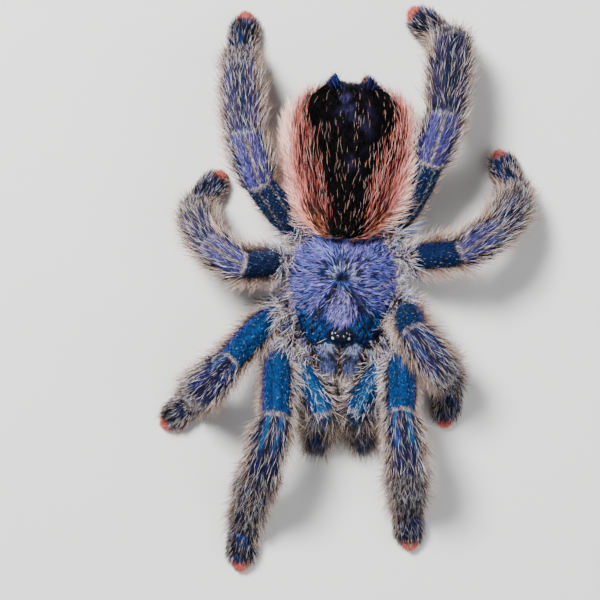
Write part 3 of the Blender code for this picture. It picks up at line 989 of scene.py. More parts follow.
def hairs(place, length, width, lift, turn, bend, base, tip, rings=2, sway=0.0):
    """Tapered hairs on their roots. Lengths in millimetres, angles in radians.

    lift is the angle that a hair leaves the skin at, bend the share of it that is lost by the tip."""
    count = len(place)
    length, width, lift, turn, bend, sway = (
        np.broadcast_to(value, count)[:, None] for value in (length, width, lift, turn, bend, sway))
    length, width = length * MM, width * MM / 2
    normal = place.normal
    lie = unit(place.lie - (place.lie * normal).sum(1)[:, None] * normal)
    flat = lie * np.cos(turn) + np.cross(normal, lie) * np.sin(turn)
    across = np.cross(normal, flat)
    start = flat * np.cos(lift) + normal * np.sin(lift)
    curl = -normal * np.sin(lift) * bend / 2 + across * sway
    steps = np.linspace(0, 1, rings + 1)
    rows = []
    for step, girth in zip(steps, GIRTHS[rings]):
        centre = place.point + length * (start * step + curl * step ** 2)
        centre = centre - start * ROOT_DEPTH * MM * (step == 0)
        way = unit(start + 2 * curl * step)
        out = unit(np.cross(way, across))
        third = np.cross(way, out)
        for corner in range(3):
            angle = corner * 2 * math.pi / 3
            rows.append(centre + width * girth * (out * math.cos(angle) + third * math.sin(angle)))
    rows.append(place.point + length * (start + curl))
    points = np.stack(rows, axis=1)
    root = place.point[:, None]
    rise = np.maximum(points[:, -1, 2] - place.point[:, 2], 1e-6)
    room = np.clip((CAD_BOX[1][2] + ROOF - place.point[:, 2]) / rise, 0.2, 1)
    points = root + (points - root) * room[:, None, None]
    points[:, :, 2] = np.maximum(points[:, :, 2], LOWEST_HAIR)
    shares = np.append(np.repeat(steps[:-1], 3), 1.0)[None, :, None]
    base, tip = (np.broadcast_to(colour, (count, 3))[:, None] for colour in (base, tip))
    return points, np.clip(base * (1 - shares) + tip * shares, 0, 1), rings, place


def hair_faces(rings):
    """Corners of one hair's faces: point, share of the length and turn round it."""
    steps = np.linspace(0, 1, rings + 1)
    faces = [[(0, 0, 0), (2, 0, 2), (1, 0, 1)]]
    for ring in range(rings):
        for corner in range(3):
            near = [(3 * ring + corner, steps[ring], corner),
                    (3 * ring + (corner + 1) % 3, steps[ring], corner + 1)]
            if ring < rings - 1:
                far = [(point + 3, steps[ring + 1], turn) for point, _, turn in reversed(near)]
            else:
                far = [(3 * rings, 1, corner + 0.5)]
            faces.append(near + far)
    return faces


def limb_pieces(place):
    """The limb and the region of each root."""
    return list(zip(place.limb.tolist(), place.region.tolist()))


def unwrap(place, rows):
    """Where each root lies on a flattened skin: discs for the body, strips for the limbs."""
    reach = 0.48 * (np.clip(place.along, 0, 1.2) / 1.2)
    disc = 0.5 + reach * np.stack([np.cos(place.around), np.sin(place.around)])
    strip = np.stack([np.clip(place.along, 0, 1), place.around / (2 * math.pi) + 0.5])
    spot = np.where(place.region == CODE["carapace"], disc, strip).T
    if len(rows) > 1:
        numbers = np.array([rows.index(key) for key in limb_pieces(place)])
        spot = np.stack([spot[:, 0], (numbers + 0.04 + 0.92 * spot[:, 1]) / len(rows)], axis=1)
    return 0.004 + 0.99 * spot


def coat_piece(name, coat, material):
    """Joins batches of hairs into one mesh with its markings and its bake map."""
    points, colours, corners, starts, spots = [], [], [], [], []
    offset, loops = 0, 0
    rows = sorted({key for *_, place in coat.batches for key in limb_pieces(place)})
    for hair_points, hair_colours, rings, place in coat.batches:
        count, size = hair_points.shape[:2]
        faces = hair_faces(rings)
        flat = np.array([corner for face in faces for corner in face])
        sizes = np.array([len(face) for face in faces])
        number = np.arange(count)[:, None]
        corners.append((offset + number * size + flat[:, 0].astype(int)[None]).ravel())
        first = np.concatenate([[0], np.cumsum(sizes)[:-1]])
        starts.append((loops + number * sizes.sum() + first[None]).ravel())
        spread = (flat[:, 1:] / (1, 3) - 0.5) * PATCH
        spots.append((unwrap(place, rows)[:, None] + spread[None]).reshape(-1, 2))
        points.append(hair_points.reshape(-1, 3))
        colours.append(hair_colours.reshape(-1, 3))
        offset += count * size
        loops += count * sizes.sum()
    mesh = bpy.data.meshes.new(name)
    mesh.vertices.add(offset)
    mesh.vertices.foreach_set("co", np.concatenate(points).astype(np.float32).ravel())
    mesh.loops.add(loops)
    mesh.loops.foreach_set("vertex_index", np.concatenate(corners).astype(np.int32))
    starts = np.concatenate(starts).astype(np.int32)
    mesh.polygons.add(len(starts))
    mesh.polygons.foreach_set("loop_start", starts)
    mesh.update(calc_edges=True)
    mesh.shade_smooth()
    layer = mesh.uv_layers.new(name="OFBake")
    layer.uv.foreach_set("vector", np.concatenate(spots).astype(np.float32).ravel())
    mesh.materials.append(material)
    item = bpy.data.objects.new(name, mesh)
    bpy.context.collection.objects.link(item)
    keep_markings(item, np.concatenate(colours))
    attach(item, "root")


def clear_of_eyes(points):
    """0 on and close round the eyes, 1 elsewhere."""
    clear = np.ones(len(points))
    for name in EYES:
        radius = eye_radius(name)
        clear *= ramp(1.05 * radius, 1.5 * radius, np.linalg.norm(points - box_centre(name), axis=1))
    return clear


def sideways(place):
    """1 left of the head's middle and -1 right of it."""
    return np.where(place.point[:, 0] > FOVEA[0], 1, -1)


def head_flow(place):
    """Slow bends in the lie of the carapace's hair, in radians."""
    return 0.9 * (mottle(place.point, 5.5 * MM, 43) - 0.5)


# ---------------------------------------------------------------- coat

class TARANTULA_OT_coat_carapace(bpy.types.Operator):
    """Grow the short coat of the carapace, which spreads from the fovea like rays"""
    bl_idname = "tarantula.coat_carapace"
    bl_label = "Coat of the carapace"

    def execute(self, context):
        skin, ink = skin_places(), context.scene.tarantula_colours
        coat = Coat(np.random.default_rng(SEEDS["carapace"]))
        head = skin.on("carapace") * clear_of_eyes(skin.point)
        up = ramp(-0.3, 0.1, skin.normal[:, 2])
        parts = head_masks(skin.point)
        self.undercoat(coat, ink, head * (0.08 + up), parts)
        place = coat.root(1700, head * up * (1 - parts.corner) * (1 - parts.tubercle) * (1 - parts.pit) *
                          (1 - parts.furrow) * ramp(1.5, 4.5, parts.spread))
        flow = head_flow(place)
        tips = coat.inks((ink.lavender, ink.shine, ink.blush, ink.violet), (0.55, 0.15, 0.1, 0.2))
        coat.grow(coat.even(1.2, 2.1), width=0.065, lift=coat.even(0.12, 0.4), turn=flow + coat.bell(0.2),
                  bend=1.0, base=mix(ink.violet, ink.navy, 0.3), tip=coat.shaded(tips, 0.8, 1.15),
                  sway=coat.bell(0.2))
        edge = head * hump(skin.normal[:, 2], 0.15, 0.25) * (1 - parts.corner) * ramp(4.5, 3.0, parts.ahead)
        coat.root(1200, edge)
        coat.grow(coat.even(1.2, 2.8), width=0.075, lift=coat.even(0.2, 0.8), turn=coat.bell(0.6), bend=0.9,
                  base=mix(ink.mauve, ink.black, 0.6),
                  tip=coat.inks((ink.cream, ink.mauve, ink.lavender, ink.blush)),
                  sway=coat.bell(0.25))
        coat_piece("coat_carapace", coat, hair_finish("carapace hair", 0.42))
        return {"FINISHED"}

    def undercoat(self, coat, ink, field, parts):
        """Dark and pale locks over the whole carapace, shorter beside the eyes and in its furrows. The
        near-black hairs are painted shade between the hairs; the pale tips are partly pale hair and partly
        painted highlights.
        """
        bare = (1 - 0.9 * parts.tubercle) * (1 - 0.5 * parts.furrow)
        place = coat.root(14500, field * bare * (1 + 0.4 * parts.corner))
        mask = head_masks(place.point)
        locks = coat.locks(4600)
        tone = markings(place, ink)
        away = place.point - FOVEA
        fan = away / np.linalg.norm(away, axis=1)[:, None] * 8 * MM + away * 0.2
        streak = ramp(0.35, 0.65, mottle(fan, 0.9 * MM, 44))
        kind = 0.38 * locks.even() + 0.38 * coat.even() + 0.24 * streak
        # Painted shade: near-black tips stand for the gaps between the hairs.
        dark = ramp(0.57, 0.5, kind)
        plain = (1 - mask.corner) * (1 - mask.furrow) * (1 - mask.tubercle)
        # Fewer pale tips in the grooves and the pit, which keeps their painted shade.
        plain = plain * (1 - 0.6 * mask.rays) * (1 - mask.pit)
        pale = ramp(0.57, 0.66, kind) * plain * (1 - 0.4 * mask.rim)
        tips = mix(tone * (1.1 + 0.35 * mask.corner[:, None]), tone * 0.03, dark)
        light = mix(mix(ink.lavender, ink.blush, 0.25 * hump(mask.spread, 3, 2)), ink.shine, coat.even() ** 3)
        light = mix(light, mix(ink.blue, ink.shine, 0.3), 0.85 * mask.rim * (coat.even() < 0.85))
        # Pale tips, partly pale hair and partly painted highlights, brightened by 1.4.
        tips = mix(tips, light * 1.4, coat.even(0.35, 1.0) * pale)
        room = 0.12 + 0.88 * ramp(1.3 * MM, 3.3 * MM, np.linalg.norm(place.point - TUBERCLE, axis=1))
        room = room * (1 - 0.35 * mask.corner) * (1 - 0.4 * mask.furrow)
        room = room * (1 - 0.3 * mask.ring) * (1 - 0.7 * mask.pit)
        flow = head_flow(place) * (1 - mask.furrow) * (1 - mask.corner)
        coat.grow(coat.even(0.75, 1.3) * room, width=0.085, lift=coat.even(0.08, 0.28),
                  turn=flow + (locks.bell(0.22) + coat.bell(0.1)) * (1 - 0.7 * mask.furrow), bend=0.9,
                  base=tips * 0.3, tip=tips, sway=locks.bell(0.12))


class TARANTULA_OT_coat_abdomen(bpy.types.Operator):
    """Grow the black velvet of the abdomen's back and the long pink hair of its flanks"""
    bl_idname = "tarantula.coat_abdomen"
    bl_label = "Coat of the abdomen"

    def execute(self, context):
        skin, ink = skin_places(), context.scene.tarantula_colours
        picker = np.random.default_rng(SEEDS["abdomen"])
        mine = skin.on("abdomen")
        pink = flank_share(skin)
        above = ramp(2.7, 2.2, np.abs(skin.around))
        self.back(Coat(picker), ink, mine * (1 - pink) * above, skin)
        self.flanks(Coat(picker), ink, mine * pink * above, skin)
        return {"FINISHED"}

    def back(self, coat, ink, field, skin):
        place = coat.root(16500, field + 0.35 * skin.on("abdomen") * ramp(1.5, 1.0, np.abs(skin.around)))
        locks = coat.locks(2600)
        tone = mix(markings(place, ink), ink.black, 0.92 * flank_share(place))
        rear = ramp(0.74, 0.9, place.along)
        sheen = mix(tone, tone * 2.0 + np.array(ink.underside) * 0.35, ramp(0.75, 1.0, locks.even()))
        coat.grow(coat.even(0.8, 1.3) * (1 + 1.1 * rear), width=0.11, lift=coat.even(0.1, 0.3),
                  turn=locks.bell(0.16) + coat.bell(0.08), bend=0.5, base=tone * 0.4, tip=sheen, rings=1)
        front = ramp(0.7, 0.1, skin.along)
        coat.root(330, field * (0.4 + front) * ramp(0.86, 0.8, skin.along))
        coat.grow(coat.even(0.8, 1.7), width=0.052, lift=coat.even(0.2, 0.4), turn=coat.bell(0.12), bend=0.8,
                  base=mix(ink.blush, ink.underside, 0.6),
                  tip=coat.inks((ink.blush, ink.cream, ink.peach), (0.5, 0.3, 0.2)) * 0.7, rings=3,
                  sway=coat.bell(0.1))
        inner = hump(np.abs(skin.around) - np.interp(skin.along, BACK_SHARES, BACK_ANGLES), -0.16, 0.16)
        coat.root(420, field * inner * ramp(0.8, 0.6, skin.along))
        tips = coat.inks((ink.salmon, ink.blush, ink.peach), (0.5, 0.35, 0.15))
        coat.grow(coat.even(1.6, 3.0), width=0.07, lift=coat.even(0.15, 0.35), turn=coat.bell(0.1), bend=0.8,
                  base=mix(ink.salmon, ink.underside, 0.7), tip=coat.shaded(tips, 0.5, 0.95),
                  sway=coat.bell(0.1))
        self.tail(coat, ink, skin)
        coat_piece("coat_abdomen_back", coat, hair_finish("abdomen velvet", 0.55, 0.08))

    def tail(self, coat, ink, skin):
        """Dark tufts at the rear, gathered over the two spinnerets."""
        tail = skin.on("abdomen") * ramp(0.8, 0.9, skin.along) * ramp(-0.85, -0.4, skin.normal[:, 2])
        middle = box_centre("abdomen")[0] + 0.5 * MM
        gap = np.abs(np.abs(skin.point[:, 0] - middle) / MM - SPINNERET)
        place = coat.root(2000, tail * (0.3 + 2 * hump(gap, 0, 1.0)))
        count = len(place)
        near = hump(np.abs(np.abs(place.point[:, 0] - middle) / MM - SPINNERET), 0, 0.8)
        tips = coat.inks((ink.navy, ink.black, ink.violet, ink.blue), (0.4, 0.45, 0.1, 0.05))
        tips = tips * (0.3 + 0.6 * near[:, None])
        across = (place.point[:, 0] - middle) / MM
        place.lie = unit(np.stack([0.12 * across, np.ones(count), 0.1 - 0.2 * near], axis=1))
        inward = -0.2 * (across - SPINNERET * np.sign(across))
        backward = np.stack([inward, np.ones(count), np.full(count, 0.05)], axis=1)
        place.normal = unit(mix(place.normal, backward, near))
        coat.grow(coat.even(0.9, 1.6) * (0.7 + 0.9 * near), width=0.1,
                  lift=coat.even(0.1, 0.4) * (1 - near) + 1.3 * near, turn=coat.bell(0.12), bend=0.3,
                  base=mix(ink.navy, ink.black, 0.8), tip=tips)

    def flanks(self, coat, ink, field, skin):
        beside = np.abs(skin.around)
        place = coat.root(10500, field * (0.3 + 0.3 * flank_share(skin, 0.5) + 0.4 * ramp(0.9, 1.5, beside)))
        locks = coat.locks(2800)
        tone = markings(place, ink)
        side = ramp(0.9, 1.5, np.abs(place.around))
        front = ramp(0.22, 0.04, place.along)
        inner = 1 - flank_share(place, 0.5)
        # Painted shade: near-black hairs among the pink, more of them inward and at the front, stand partly
        # for the shade between hairs and partly for the black field's edge; the roots are darker away from
        # the sides, also painted shade.
        share = (0.14 + 0.5 * inner + 0.35 * front) * (1 - 0.8 * side)
        dark = (0.3 * locks.even() + 0.7 * coat.even() < share)[:, None]
        tone = np.where(dark, tone, mix(ink.salmon, tone, 0.4 + 0.6 * np.maximum(1 - inner, front)))
        tips = mix(tone, ink.blush, coat.even(0.0, 0.85) * (0.35 + 0.65 * side))
        tips = coat.shaded(tips, 0.8, 1.15) * (1 + 0.15 * side[:, None])
        tips = np.where(dark, np.array(ink.black) * 1.5, tips)
        root = np.where(dark, np.array(ink.black), tone * (0.22 + 0.55 * side[:, None]))
        under = ramp(1.55, 2.0, np.abs(place.around)) * ramp(1.2, 0.2, coat.even())
        dusk = coat.shaded(mix(ink.salmon, ink.underside, 0.7), 0.4, 1.3)
        tips, root = mix(tips, dusk, under), mix(root, dusk * 0.3, under)
        coat.grow(coat.even(2.2, 3.8) * (1 - 0.6 * front) * (0.85 + 0.25 * side), width=0.095,
                  lift=coat.even(0.1, 0.22) + 0.4 * side * (1 - front),
                  turn=locks.bell(0.09) + coat.bell(0.06), bend=0.75, base=root, tip=tips,
                  sway=coat.bell(0.06))
        halo = field * ramp(1.1, 1.4, beside) * ramp(0.02, 0.2, skin.along)
        halo = halo * ramp(2.1, 1.7, beside)
        coat.root(2300, halo * ramp(0.9, 0.78, skin.along))
        coat.grow(coat.even(2.8, 4.6), width=0.065, lift=coat.even(0.6, 1.1), turn=coat.bell(0.25), bend=0.5,
                  base=mix(ink.blush, ink.salmon, 0.4), tip=coat.inks((ink.blush, ink.cream)) * 1.15,
                  sway=coat.bell(0.12))
        coat.root(2500, skin.on("abdomen") * ramp(2.1, 2.5, beside))
        coat.grow(coat.even(1.0, 1.6), width=0.14, lift=coat.even(0.2, 0.5), turn=coat.bell(0.2), bend=0.6,
                  base=np.array(ink.underside) * 0.5, tip=coat.shaded(ink.underside, 0.8, 1.8), rings=1)
        coat_piece("coat_abdomen_flanks", coat, hair_finish("flank hair", 0.5))


class TARANTULA_OT_coat_limbs(bpy.types.Operator):
    """Grow the velvet of the femora, the tangle round the hips and the long hair of the lower legs"""
    bl_idname = "tarantula.coat_limbs"
    bl_label = "Coat of the limbs"

    def execute(self, context):
        skin, ink = skin_places(), context.scene.tarantula_colours
        picker = np.random.default_rng(SEEDS["limbs"])
        self.femora(Coat(picker), ink, skin)
        self.hips(Coat(picker), ink, skin)
        self.tangle(Coat(picker), ink, skin)
        for number, limb in enumerate(LIMBS):
            self.lower_leg(Coat(np.random.default_rng(SEEDS["lower legs"] + number)), ink, skin, number)
        return {"FINISHED"}

    def femora(self, coat, ink, skin):
        femur, start = skin.on("femur"), femur_share(skin)
        place = coat.root(29000, femur * ramp(0.35, 0.4, start))
        tone = markings(place, ink)
        # Near-black tips on almost half the velvet hairs: partly dark hair, partly painted shade between the
        # hairs.
        kind = coat.even()
        tips = mix(coat.shaded(tone, 0.5, 1.3), tone * 0.08, kind < 0.45)
        tips = mix(tips, mix(ink.cyan, ink.shine, 0.55), 0.85 * (kind > 0.96))
        coat.grow(coat.even(0.4, 0.75), width=0.125, lift=coat.even(0.3, 0.8), turn=coat.bell(0.3), bend=0.8,
                  base=tone * 0.12, tip=tips, rings=1)
        beside = np.abs(skin.around)
        fringe = femur * ramp(0.3, 0.42, start) * ramp(1.0, 1.4, beside) * ramp(2.5, 2.0, beside)
        fringe = fringe * (1 + 0.8 * skin.of("leg3", "leg2")) * (1 - 0.5 * skin.of("leg4"))
        place = coat.root(4300, fringe)
        reach = 1 + 0.55 * place.of("leg3") + 0.35 * place.of("leg2") - 0.2 * place.of("leg4")
        coat.grow(coat.even(1.3, 3.1) * reach, width=0.06, lift=coat.even(0.5, 1.1), turn=coat.bell(0.4),
                  bend=0.6, base=mix(ink.tan, ink.navy, 0.5),
                  tip=coat.inks((ink.cream, ink.tan, ink.mauve), (0.5, 0.25, 0.25)), sway=coat.bell(0.12))
        coat.root(150, femur * skin.of("palp") * ramp(0.4, 0.5, skin.along) * ramp(1.4, 1.0, beside))
        coat.grow(coat.even(0.9, 2.0), width=0.07, lift=coat.even(0.1, 0.35), turn=coat.bell(0.35), bend=0.9,
                  base=mix(ink.shine, ink.navy, 0.5), tip=coat.inks((ink.shine, ink.cyan, ink.cream)),
                  rings=3, sway=coat.bell(0.12))
        coat_piece("coat_femora", coat, hair_finish("femur velvet", 0.4))

    def hips(self, coat, ink, skin):
        low = skin.on("carapace") * ramp(0.1, -0.3, skin.normal[:, 2])
        low = low * ramp(5.2, 4.4, head_masks(skin.point).ahead)
        hip = skin.on("femur") * ramp(0.43, 0.36, femur_share(skin))
        hip = hip * (0.5 + ramp(2.4, 1.6, np.abs(skin.around))) * (1 + 0.8 * skin.of("leg3", "leg2"))
        coat.root(6000, hip + 0.3 * low)
        tips = coat.inks((ink.underside, ink.deep, ink.navy, ink.mauve), (0.5, 0.2, 0.15, 0.15)) * 0.45
        coat.grow(coat.even(1.0, 2.4), width=0.12, lift=coat.even(0.1, 0.6), turn=coat.bell(0.5), bend=0.7,
                  base=tips * 0.3, tip=tips, rings=1)
        coat.root(10000, hip + 0.3 * low)
        locks = coat.locks(3600)
        kind = locks.even()
        tips = coat.inks((ink.cream, ink.mauve, ink.shine, ink.blue, ink.lavender),
                         (0.34, 0.16, 0.34, 0.08, 0.08))
        tips = np.where((kind < 0.25)[:, None], np.array(ink.underside) * 0.3, tips * 1.25)
        coat.grow(coat.even(1.6, 4.8), width=0.08, lift=locks.even(0.15, 1.0) + coat.even(-0.1, 0.1),
                  turn=locks.bell(0.7) + coat.bell(0.3), bend=0.7, base=mix(tips * 0.25, ink.underside, 0.5),
                  tip=tips, sway=locks.bell(0.1) + coat.bell(0.1))
        coat_piece("coat_hips", coat, hair_finish("hip hair", 0.5))

    def tangle(self, coat, ink, skin):
        """Crossing pale hair in the gaps between the palps, the jaws and the first two pairs of legs."""
        beside, ahead = np.abs(skin.around), skin.around > 0
        sides = ramp(1.1, 1.5, beside) * ramp(2.9, 2.4, beside)
        reach = ramp(0.3, 0.45, skin.along) * ramp(1.0, 0.6, skin.along)
        near = (skin.of("leg1") * ahead + skin.of("palp")) * sides + 0.5 * skin.of("leg2") * sides * ahead
        coat.root(3600, skin.on("femur") * reach * near)
        tips = coat.inks((ink.underside, ink.deep, ink.teal, ink.mauve), (0.45, 0.2, 0.2, 0.15)) * 0.5
        coat.grow(coat.even(1.4, 3.2), width=0.12, lift=coat.even(0.0, 0.4), turn=coat.bell(0.35), bend=0.4,
                  base=tips * 0.3, tip=tips, rings=1)
        place = coat.root(4600, skin.on("femur") * reach * near)
        locks = coat.locks(1800)
        tips = coat.inks((ink.cream, ink.mauve, ink.shine, ink.teal), (0.38, 0.16, 0.34, 0.12))
        dark = locks.even() < 0.35 + 0.25 * place.of("palp")
        tips = np.where(dark[:, None], np.array(ink.underside) * 0.15, tips * 1.35)
        coat.grow(coat.even(1.6, 3.8), width=0.075, lift=locks.even(0.2, 0.9),
                  turn=locks.bell(0.4) + coat.bell(0.2), bend=0.4, base=mix(tips * 0.25, ink.underside, 0.5),
                  tip=tips, sway=coat.bell(0.1))
        coat_piece("coat_tangle", coat, hair_finish("tangled hair", 0.5))

    def lower_leg(self, coat, ink, skin, number):
        """Dark short hair and long pale hair from the knee to the toes, with the pink pads."""
        limb = LIMBS[number]
        palp = limb.startswith("palp")
        rear = 1.0 if limb.startswith(("leg3", "leg4")) else 0.0
        mine = (skin.limb == number) * (1 - skin.on("femur"))
        beside = np.abs(skin.around)
        self.short_hair(coat, ink, mine * (1 + 0.5 * hump(beside, 1.5, 0.6)), palp, rear)
        pads = 1 - skin.on("tarsus") * ramp(0.66, 0.76, skin.along) * (not palp)
        upper = (0.5 + 0.5 * ramp(0.5, 1.2, beside)) * (1 - 0.5 * skin.on("patella") * ramp(1.1, 0.7, beside))
        far = skin.on("tibia", "tarsus") if palp else 1.0
        few = {"leg4_left": 0.65, "leg3_right": 0.85, "leg3_left": 0.85}.get(limb, 1.0)
        place = coat.root(400 if palp else int(2000 * few), mine * pads * upper * far)
        foot = place.on("tarsus") * (not palp)
        side = ramp(0.5, 1.4, np.abs(place.around))
        tips = coat.inks((ink.cream, ink.mauve, ink.shine, ink.tan), (0.46, 0.16, 0.28, 0.1)) * 1.3
        coat.grow(coat.even(1.5, 3.1) * (1 - 0.4 * foot) * (0.85 + 0.3 * side), width=0.06,
                  lift=coat.even(0.2, 0.5) + 0.35 * side + 0.25 * palp, turn=coat.bell(0.2), bend=0.7,
                  base=mix(tips * 0.2, ink.navy, 0.7),
                  tip=coat.shaded(tips, 0.6 + 0.1 * rear, 1.1 + 0.05 * rear), sway=coat.bell(0.1))
        edge = mine * pads * ramp(0.7, 1.2, beside) * ramp(2.6, 2.1, beside)
        foot = coat.root(1800 if palp else 900, edge).on("tarsus")
        odd = ink.deep if palp else ink.tan
        tips = coat.inks((ink.black, ink.navy, ink.underside, odd), (0.3, 0.3, 0.2, 0.2))
        coat.grow(coat.even(1.6, 3.0) * (1 - 0.35 * foot), width=0.08, lift=coat.even(0.45, 0.95),
                  turn=coat.bell(0.25), bend=0.5, base=ink.black, tip=coat.shaded(tips, 0.6, 1.1),
                  sway=coat.bell(0.1))
        foot = coat.root(700 if palp else 900, edge).on("tarsus")
        coat.grow(coat.even(2.4, 4.4) * (1 - (0.15 if palp else 0.5) * foot), width=0.055,
                  lift=coat.even(0.5, 1.05), turn=coat.bell(0.25 + 0.2 * palp), bend=0.45,
                  base=mix(ink.tan, ink.navy, 0.6),
                  tip=coat.inks((ink.cream, ink.tan, ink.mauve), (0.5, 0.35, 0.15)), sway=coat.bell(0.08))
        if palp:
            coat.root(600, mine * far * ramp(0.3, 0.8, beside) * ramp(2.4, 1.9, beside))
            coat.grow(coat.even(2.2, 4.2), width=0.06, lift=coat.even(0.3, 0.9), turn=coat.bell(0.7),
                      bend=0.4, base=ink.black,
                      tip=coat.inks((ink.cream, ink.tan, ink.navy, ink.black), (0.35, 0.2, 0.2, 0.25)),
                      sway=coat.bell(0.12))
        coat_piece(f"coat_{limb}", coat, hair_finish(f"{limb} hair", 0.48))

    def short_hair(self, coat, ink, field, palp, rear):
        """The dark coat of a lower leg, with paler knees, rings and toes."""
        place = coat.root(5200 if palp else 8500, field)
        locks = coat.locks(len(place) // 5)
        tone = markings(place, ink)
        knee = place.on("patella")
        ring = np.abs(place.ring) * np.maximum(rear, place.ring > 0)
        toe = place.on("tarsus") * ramp(0.68, 0.76, place.along) * (not palp)
        side = hump(np.abs(place.around), 1.6, 0.7)
        # Tips from near-black to bright, most of them dark: partly the hair's own tones, partly painted shade
        # between the hairs.
        level = (0.5 * locks.even() + 0.5 * coat.even()) ** 1.6
        gain = 1.7 + 0.7 * knee * (1 - rear) - 0.3 * place.of("leg3") * knee
        tips = tone * (0.06 + gain * level + 0.5 * toe + 0.5 * ring)[:, None]
        tips = mix(tips, mix(ink.cream, ink.shine, 0.5), 0.7 * (coat.even() < 0.1) * (1 - toe))
        long = coat.even(0.8, 1.6) * (1 - 0.3 * knee) * (1 - 0.6 * toe) * (1 - 0.6 * ring)
        coat.grow(long * (1 + 0.35 * side), width=0.09,
                  lift=coat.even(0.1, 0.4) + 0.5 * toe + 0.4 * side * (1 - toe),
                  turn=locks.bell(0.2) + coat.bell(0.14), bend=0.5, base=mix(tone * 0.15, ink.toe, 0.5 * toe),
                  tip=tips, rings=1)


class TARANTULA_OT_coat_jaws(bpy.types.Operator):
    """Grow the hair of the chelicerae"""
    bl_idname = "tarantula.coat_jaws"
    bl_label = "Coat of the jaws"

    def execute(self, context):
        skin, ink = skin_places(), context.scene.tarantula_colours
        coat = Coat(np.random.default_rng(SEEDS["jaws"]))
        mine = skin.on("chelicera")
        self.bands(coat, ink, mine)
        outward = skin.around * sideways(skin)
        place = coat.root(260, mine * hump(skin.along, 0.2, 0.1) * ramp(0.5, 1.1, outward))
        coat.grow(coat.even(1.0, 1.9), width=0.08, lift=coat.even(0.2, 0.5),
                  turn=-0.7 * sideways(place) + coat.bell(0.15), bend=0.7, base=ink.black,
                  tip=coat.inks((ink.shine, ink.mauve, ink.black)), sway=coat.bell(0.1))
        coat.root(1500, mine * ramp(0.5, 0.8, skin.along) * ramp(2.2, 1.6, np.abs(skin.around)))
        tips = coat.inks((ink.cream, ink.mauve, ink.shine, ink.underside), (0.32, 0.22, 0.2, 0.26))
        coat.grow(coat.even(1.8, 4.0), width=0.075, lift=coat.even(0.15, 0.6), turn=coat.bell(0.22), bend=0.6,
                  base=mix(tips * 0.3, ink.underside, 0.5), tip=coat.shaded(tips, 0.75, 1.1),
                  sway=coat.bell(0.1))
        coat.root(1700, mine * ramp(0.7, 1.2, -outward) * ramp(0.06, 0.2, skin.along))
        coat.grow(coat.even(0.9, 1.8), width=0.09, lift=coat.even(0.4, 1.0), turn=coat.bell(0.4), bend=0.7,
                  base=ink.black,
                  tip=coat.inks((ink.black, ink.underside, ink.tan, ink.blush), (0.55, 0.25, 0.1, 0.1)),
                  sway=coat.bell(0.2))
        coat_piece("coat_jaws", coat, hair_finish("jaw hair", 0.48))
        return {"FINISHED"}

    def bands(self, coat, ink, field):
        """The short coat, in fine bands on the shoulder of each jaw and in locks below it."""
        place = coat.root(6500, field)
        locks = coat.locks(1300)
        tone = markings(place, ink)
        shoulder = ramp(0.36, 0.2, place.along)
        outward = place.around * sideways(place)
        waves = outward * 24 + place.along * 40 + 2 * mottle(place.point, 1.2 * MM, 42)
        bands = ramp(-0.3, 0.3, np.sin(waves))
        level = 0.12 + (1.3 * locks.even() * (1 - shoulder) + 1.3 * bands * shoulder)[:, None]
        tips = mix(tone * level, ink.shine, 0.45 * (coat.even() < 0.12) * (1 - shoulder))
        inward = -0.45 * sideways(place) * shoulder * ramp(-0.2, 0.9, outward)
        coat.grow(coat.even(0.5, 1.0) * (1 - 0.2 * shoulder), width=0.085, lift=coat.even(0.15, 0.45),
                  turn=inward + locks.bell(0.2) * (1 - shoulder) + coat.bell(0.1), bend=0.5,
                  base=tone * 0.2 * level, tip=tips, rings=1)


# ---------------------------------------------------------------- eyes and fangs

def smooth_copy(node, name, levels):
    """A rounder copy of a small solid."""
    item = mesh_object(name, *solid(node))
    shape = bmesh.new()
    shape.from_mesh(item.data)
    bmesh.ops.remove_doubles(shape, verts=shape.verts, dist=0.004 * MM)
    bmesh.ops.recalc_face_normals(shape, faces=shape.faces)
    shape.to_mesh(item.data)
    shape.free()
    apply_modifier(item, "SUBSURF", levels=levels, render_levels=levels)
    item.data.shade_smooth()
    return item


class TARANTULA_OT_eyes(bpy.types.Operator):
    """Set the eight round eyes"""
    bl_idname = "tarantula.eyes"
    bl_label = "Eyes"

    def execute(self, context):
        finishes = {}
        for kind, (dark, light) in EYE_TONES.items():
            finish = finishes[kind] = Finish(f"eye {kind}")
            cloud = finish.noise(2600.0, 2.0)
            share = finish.node("MapRange", 0, Value=cloud, From_Min=0.35, From_Max=0.6)
            finish.set(Base_Color=finish.blend("MIX", share, dark, light), Roughness=0.06 + cloud * 0.04,
                       Coat_Weight=1.0, Coat_Roughness=0.03)
        for node in EYES:
            eye = add_ball(box_centre(node), eye_radius(node), 40, 24)
            eye.name = node.replace("eye", "lens")
            bpy.ops.object.transform_apply(location=True, rotation=True, scale=True)
            bpy.ops.object.shade_smooth()
            eye.data.materials.append(finishes["front_middle" if "front_middle" in node else "side"].material)
            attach(eye, "root")
            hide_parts(node)
        return {"FINISHED"}


class TARANTULA_OT_fangs(bpy.types.Operator):
    """Round off the two fangs"""
    bl_idname = "tarantula.fangs"
    bl_label = "Fangs"

    def execute(self, context):
        finish = Finish("fang")
        grain = finish.noise(500.0, 3.0)
        tone = finish.blend("MIX", grain, (0.012, 0.008, 0.008, 1), (0.05, 0.02, 0.014, 1))
        finish.set(Base_Color=tone, Roughness=0.18 + grain * 0.15, Coat_Weight=0.4)
        for side in SIDES:
            fang = smooth_copy(f"fang_{side}", f"claw_{side}", 2)
            fang.data.materials.append(finish.material)
            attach(fang, "root")
            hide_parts(f"fang_{side}")
        return {"FINISHED"}


# ---------------------------------------------------------------- stage

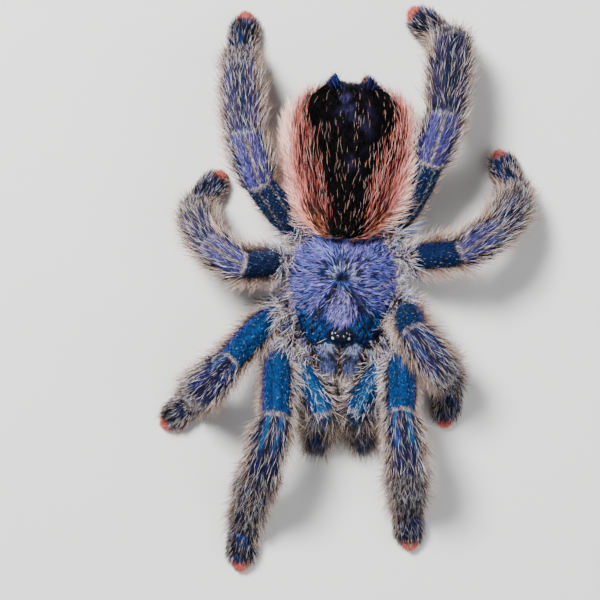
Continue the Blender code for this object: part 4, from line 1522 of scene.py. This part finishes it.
class TARANTULA_OT_stage(bpy.types.Operator):
    """Set the plain floor, the soft light and the camera"""
    bl_idname = "tarantula.stage"
    bl_label = "Stage"

    def execute(self, context):
        select()
        bpy.ops.mesh.primitive_plane_add(size=1.2, location=(0, 0, -0.1 * MM))
        floor = context.object
        floor.name = "floor"
        plain = Finish("floor")
        plain.set(Base_Color=(0.62, 0.61, 0.6, 1), Roughness=0.85)
        floor.data.materials.append(plain.material)
        data = bpy.data.cameras.new("camera")
        camera = bpy.data.objects.new("camera", data)
        context.collection.objects.link(camera)
        data.lens = LENS
        data.sensor_width = 36
        data.clip_start = 0.01
        camera.location = (*(FOVEA[:2] + CAMERA_ASIDE), CAMERA_HEIGHT)
        context.scene.camera = camera
        for place, size, power in LIGHTS:
            bpy.ops.object.light_add(type="AREA", location=place)
            light = context.object
            light.data.size = size
            light.data.energy = power
            light.rotation_euler = (-Vector(place)).to_track_quat("-Z", "Y").to_euler()
        world = context.scene.world = bpy.data.worlds.new("world")
        world.use_nodes = True
        sky = world.node_tree.nodes["Background"].inputs
        sky["Color"].default_value = (0.9, 0.93, 1, 1)
        sky["Strength"].default_value = 0.22
        return {"FINISHED"}


STEPS = (TARANTULA_OT_skin, TARANTULA_OT_eyes, TARANTULA_OT_fangs, TARANTULA_OT_coat_carapace,
         TARANTULA_OT_coat_abdomen, TARANTULA_OT_coat_limbs, TARANTULA_OT_coat_jaws, TARANTULA_OT_stage)


class TARANTULA_PT_panel(bpy.types.Panel):
    """Sizes, colours and steps of the tarantula"""
    bl_idname = "TARANTULA_PT_panel"
    bl_label = "Tarantula"
    bl_space_type = "VIEW_3D"
    bl_region_type = "UI"
    bl_category = "Tarantula"

    def draw(self, context):
        for group in (context.scene.tarantula_skin, context.scene.tarantula_colours):
            for name in group.bl_rna.properties.keys():
                if name not in ("name", "rna_type"):
                    self.layout.prop(group, name)
        for step in STEPS:
            self.layout.operator(step.bl_idname)


CLASSES = (TarantulaSkin, TarantulaColours) + STEPS + (TARANTULA_PT_panel,)


def register():
    for item in CLASSES:
        bpy.utils.register_class(item)
    bpy.types.Scene.tarantula_skin = PointerProperty(type=TarantulaSkin)
    bpy.types.Scene.tarantula_colours = PointerProperty(type=TarantulaColours)


def unregister():
    del bpy.types.Scene.tarantula_colours
    del bpy.types.Scene.tarantula_skin
    for item in reversed(CLASSES):
        bpy.utils.unregister_class(item)


def main():
    register()
    for step in STEPS:
        group, name = step.bl_idname.split(".")
        getattr(getattr(bpy.ops, group), name)()


if __name__ == "__main__":
    main()
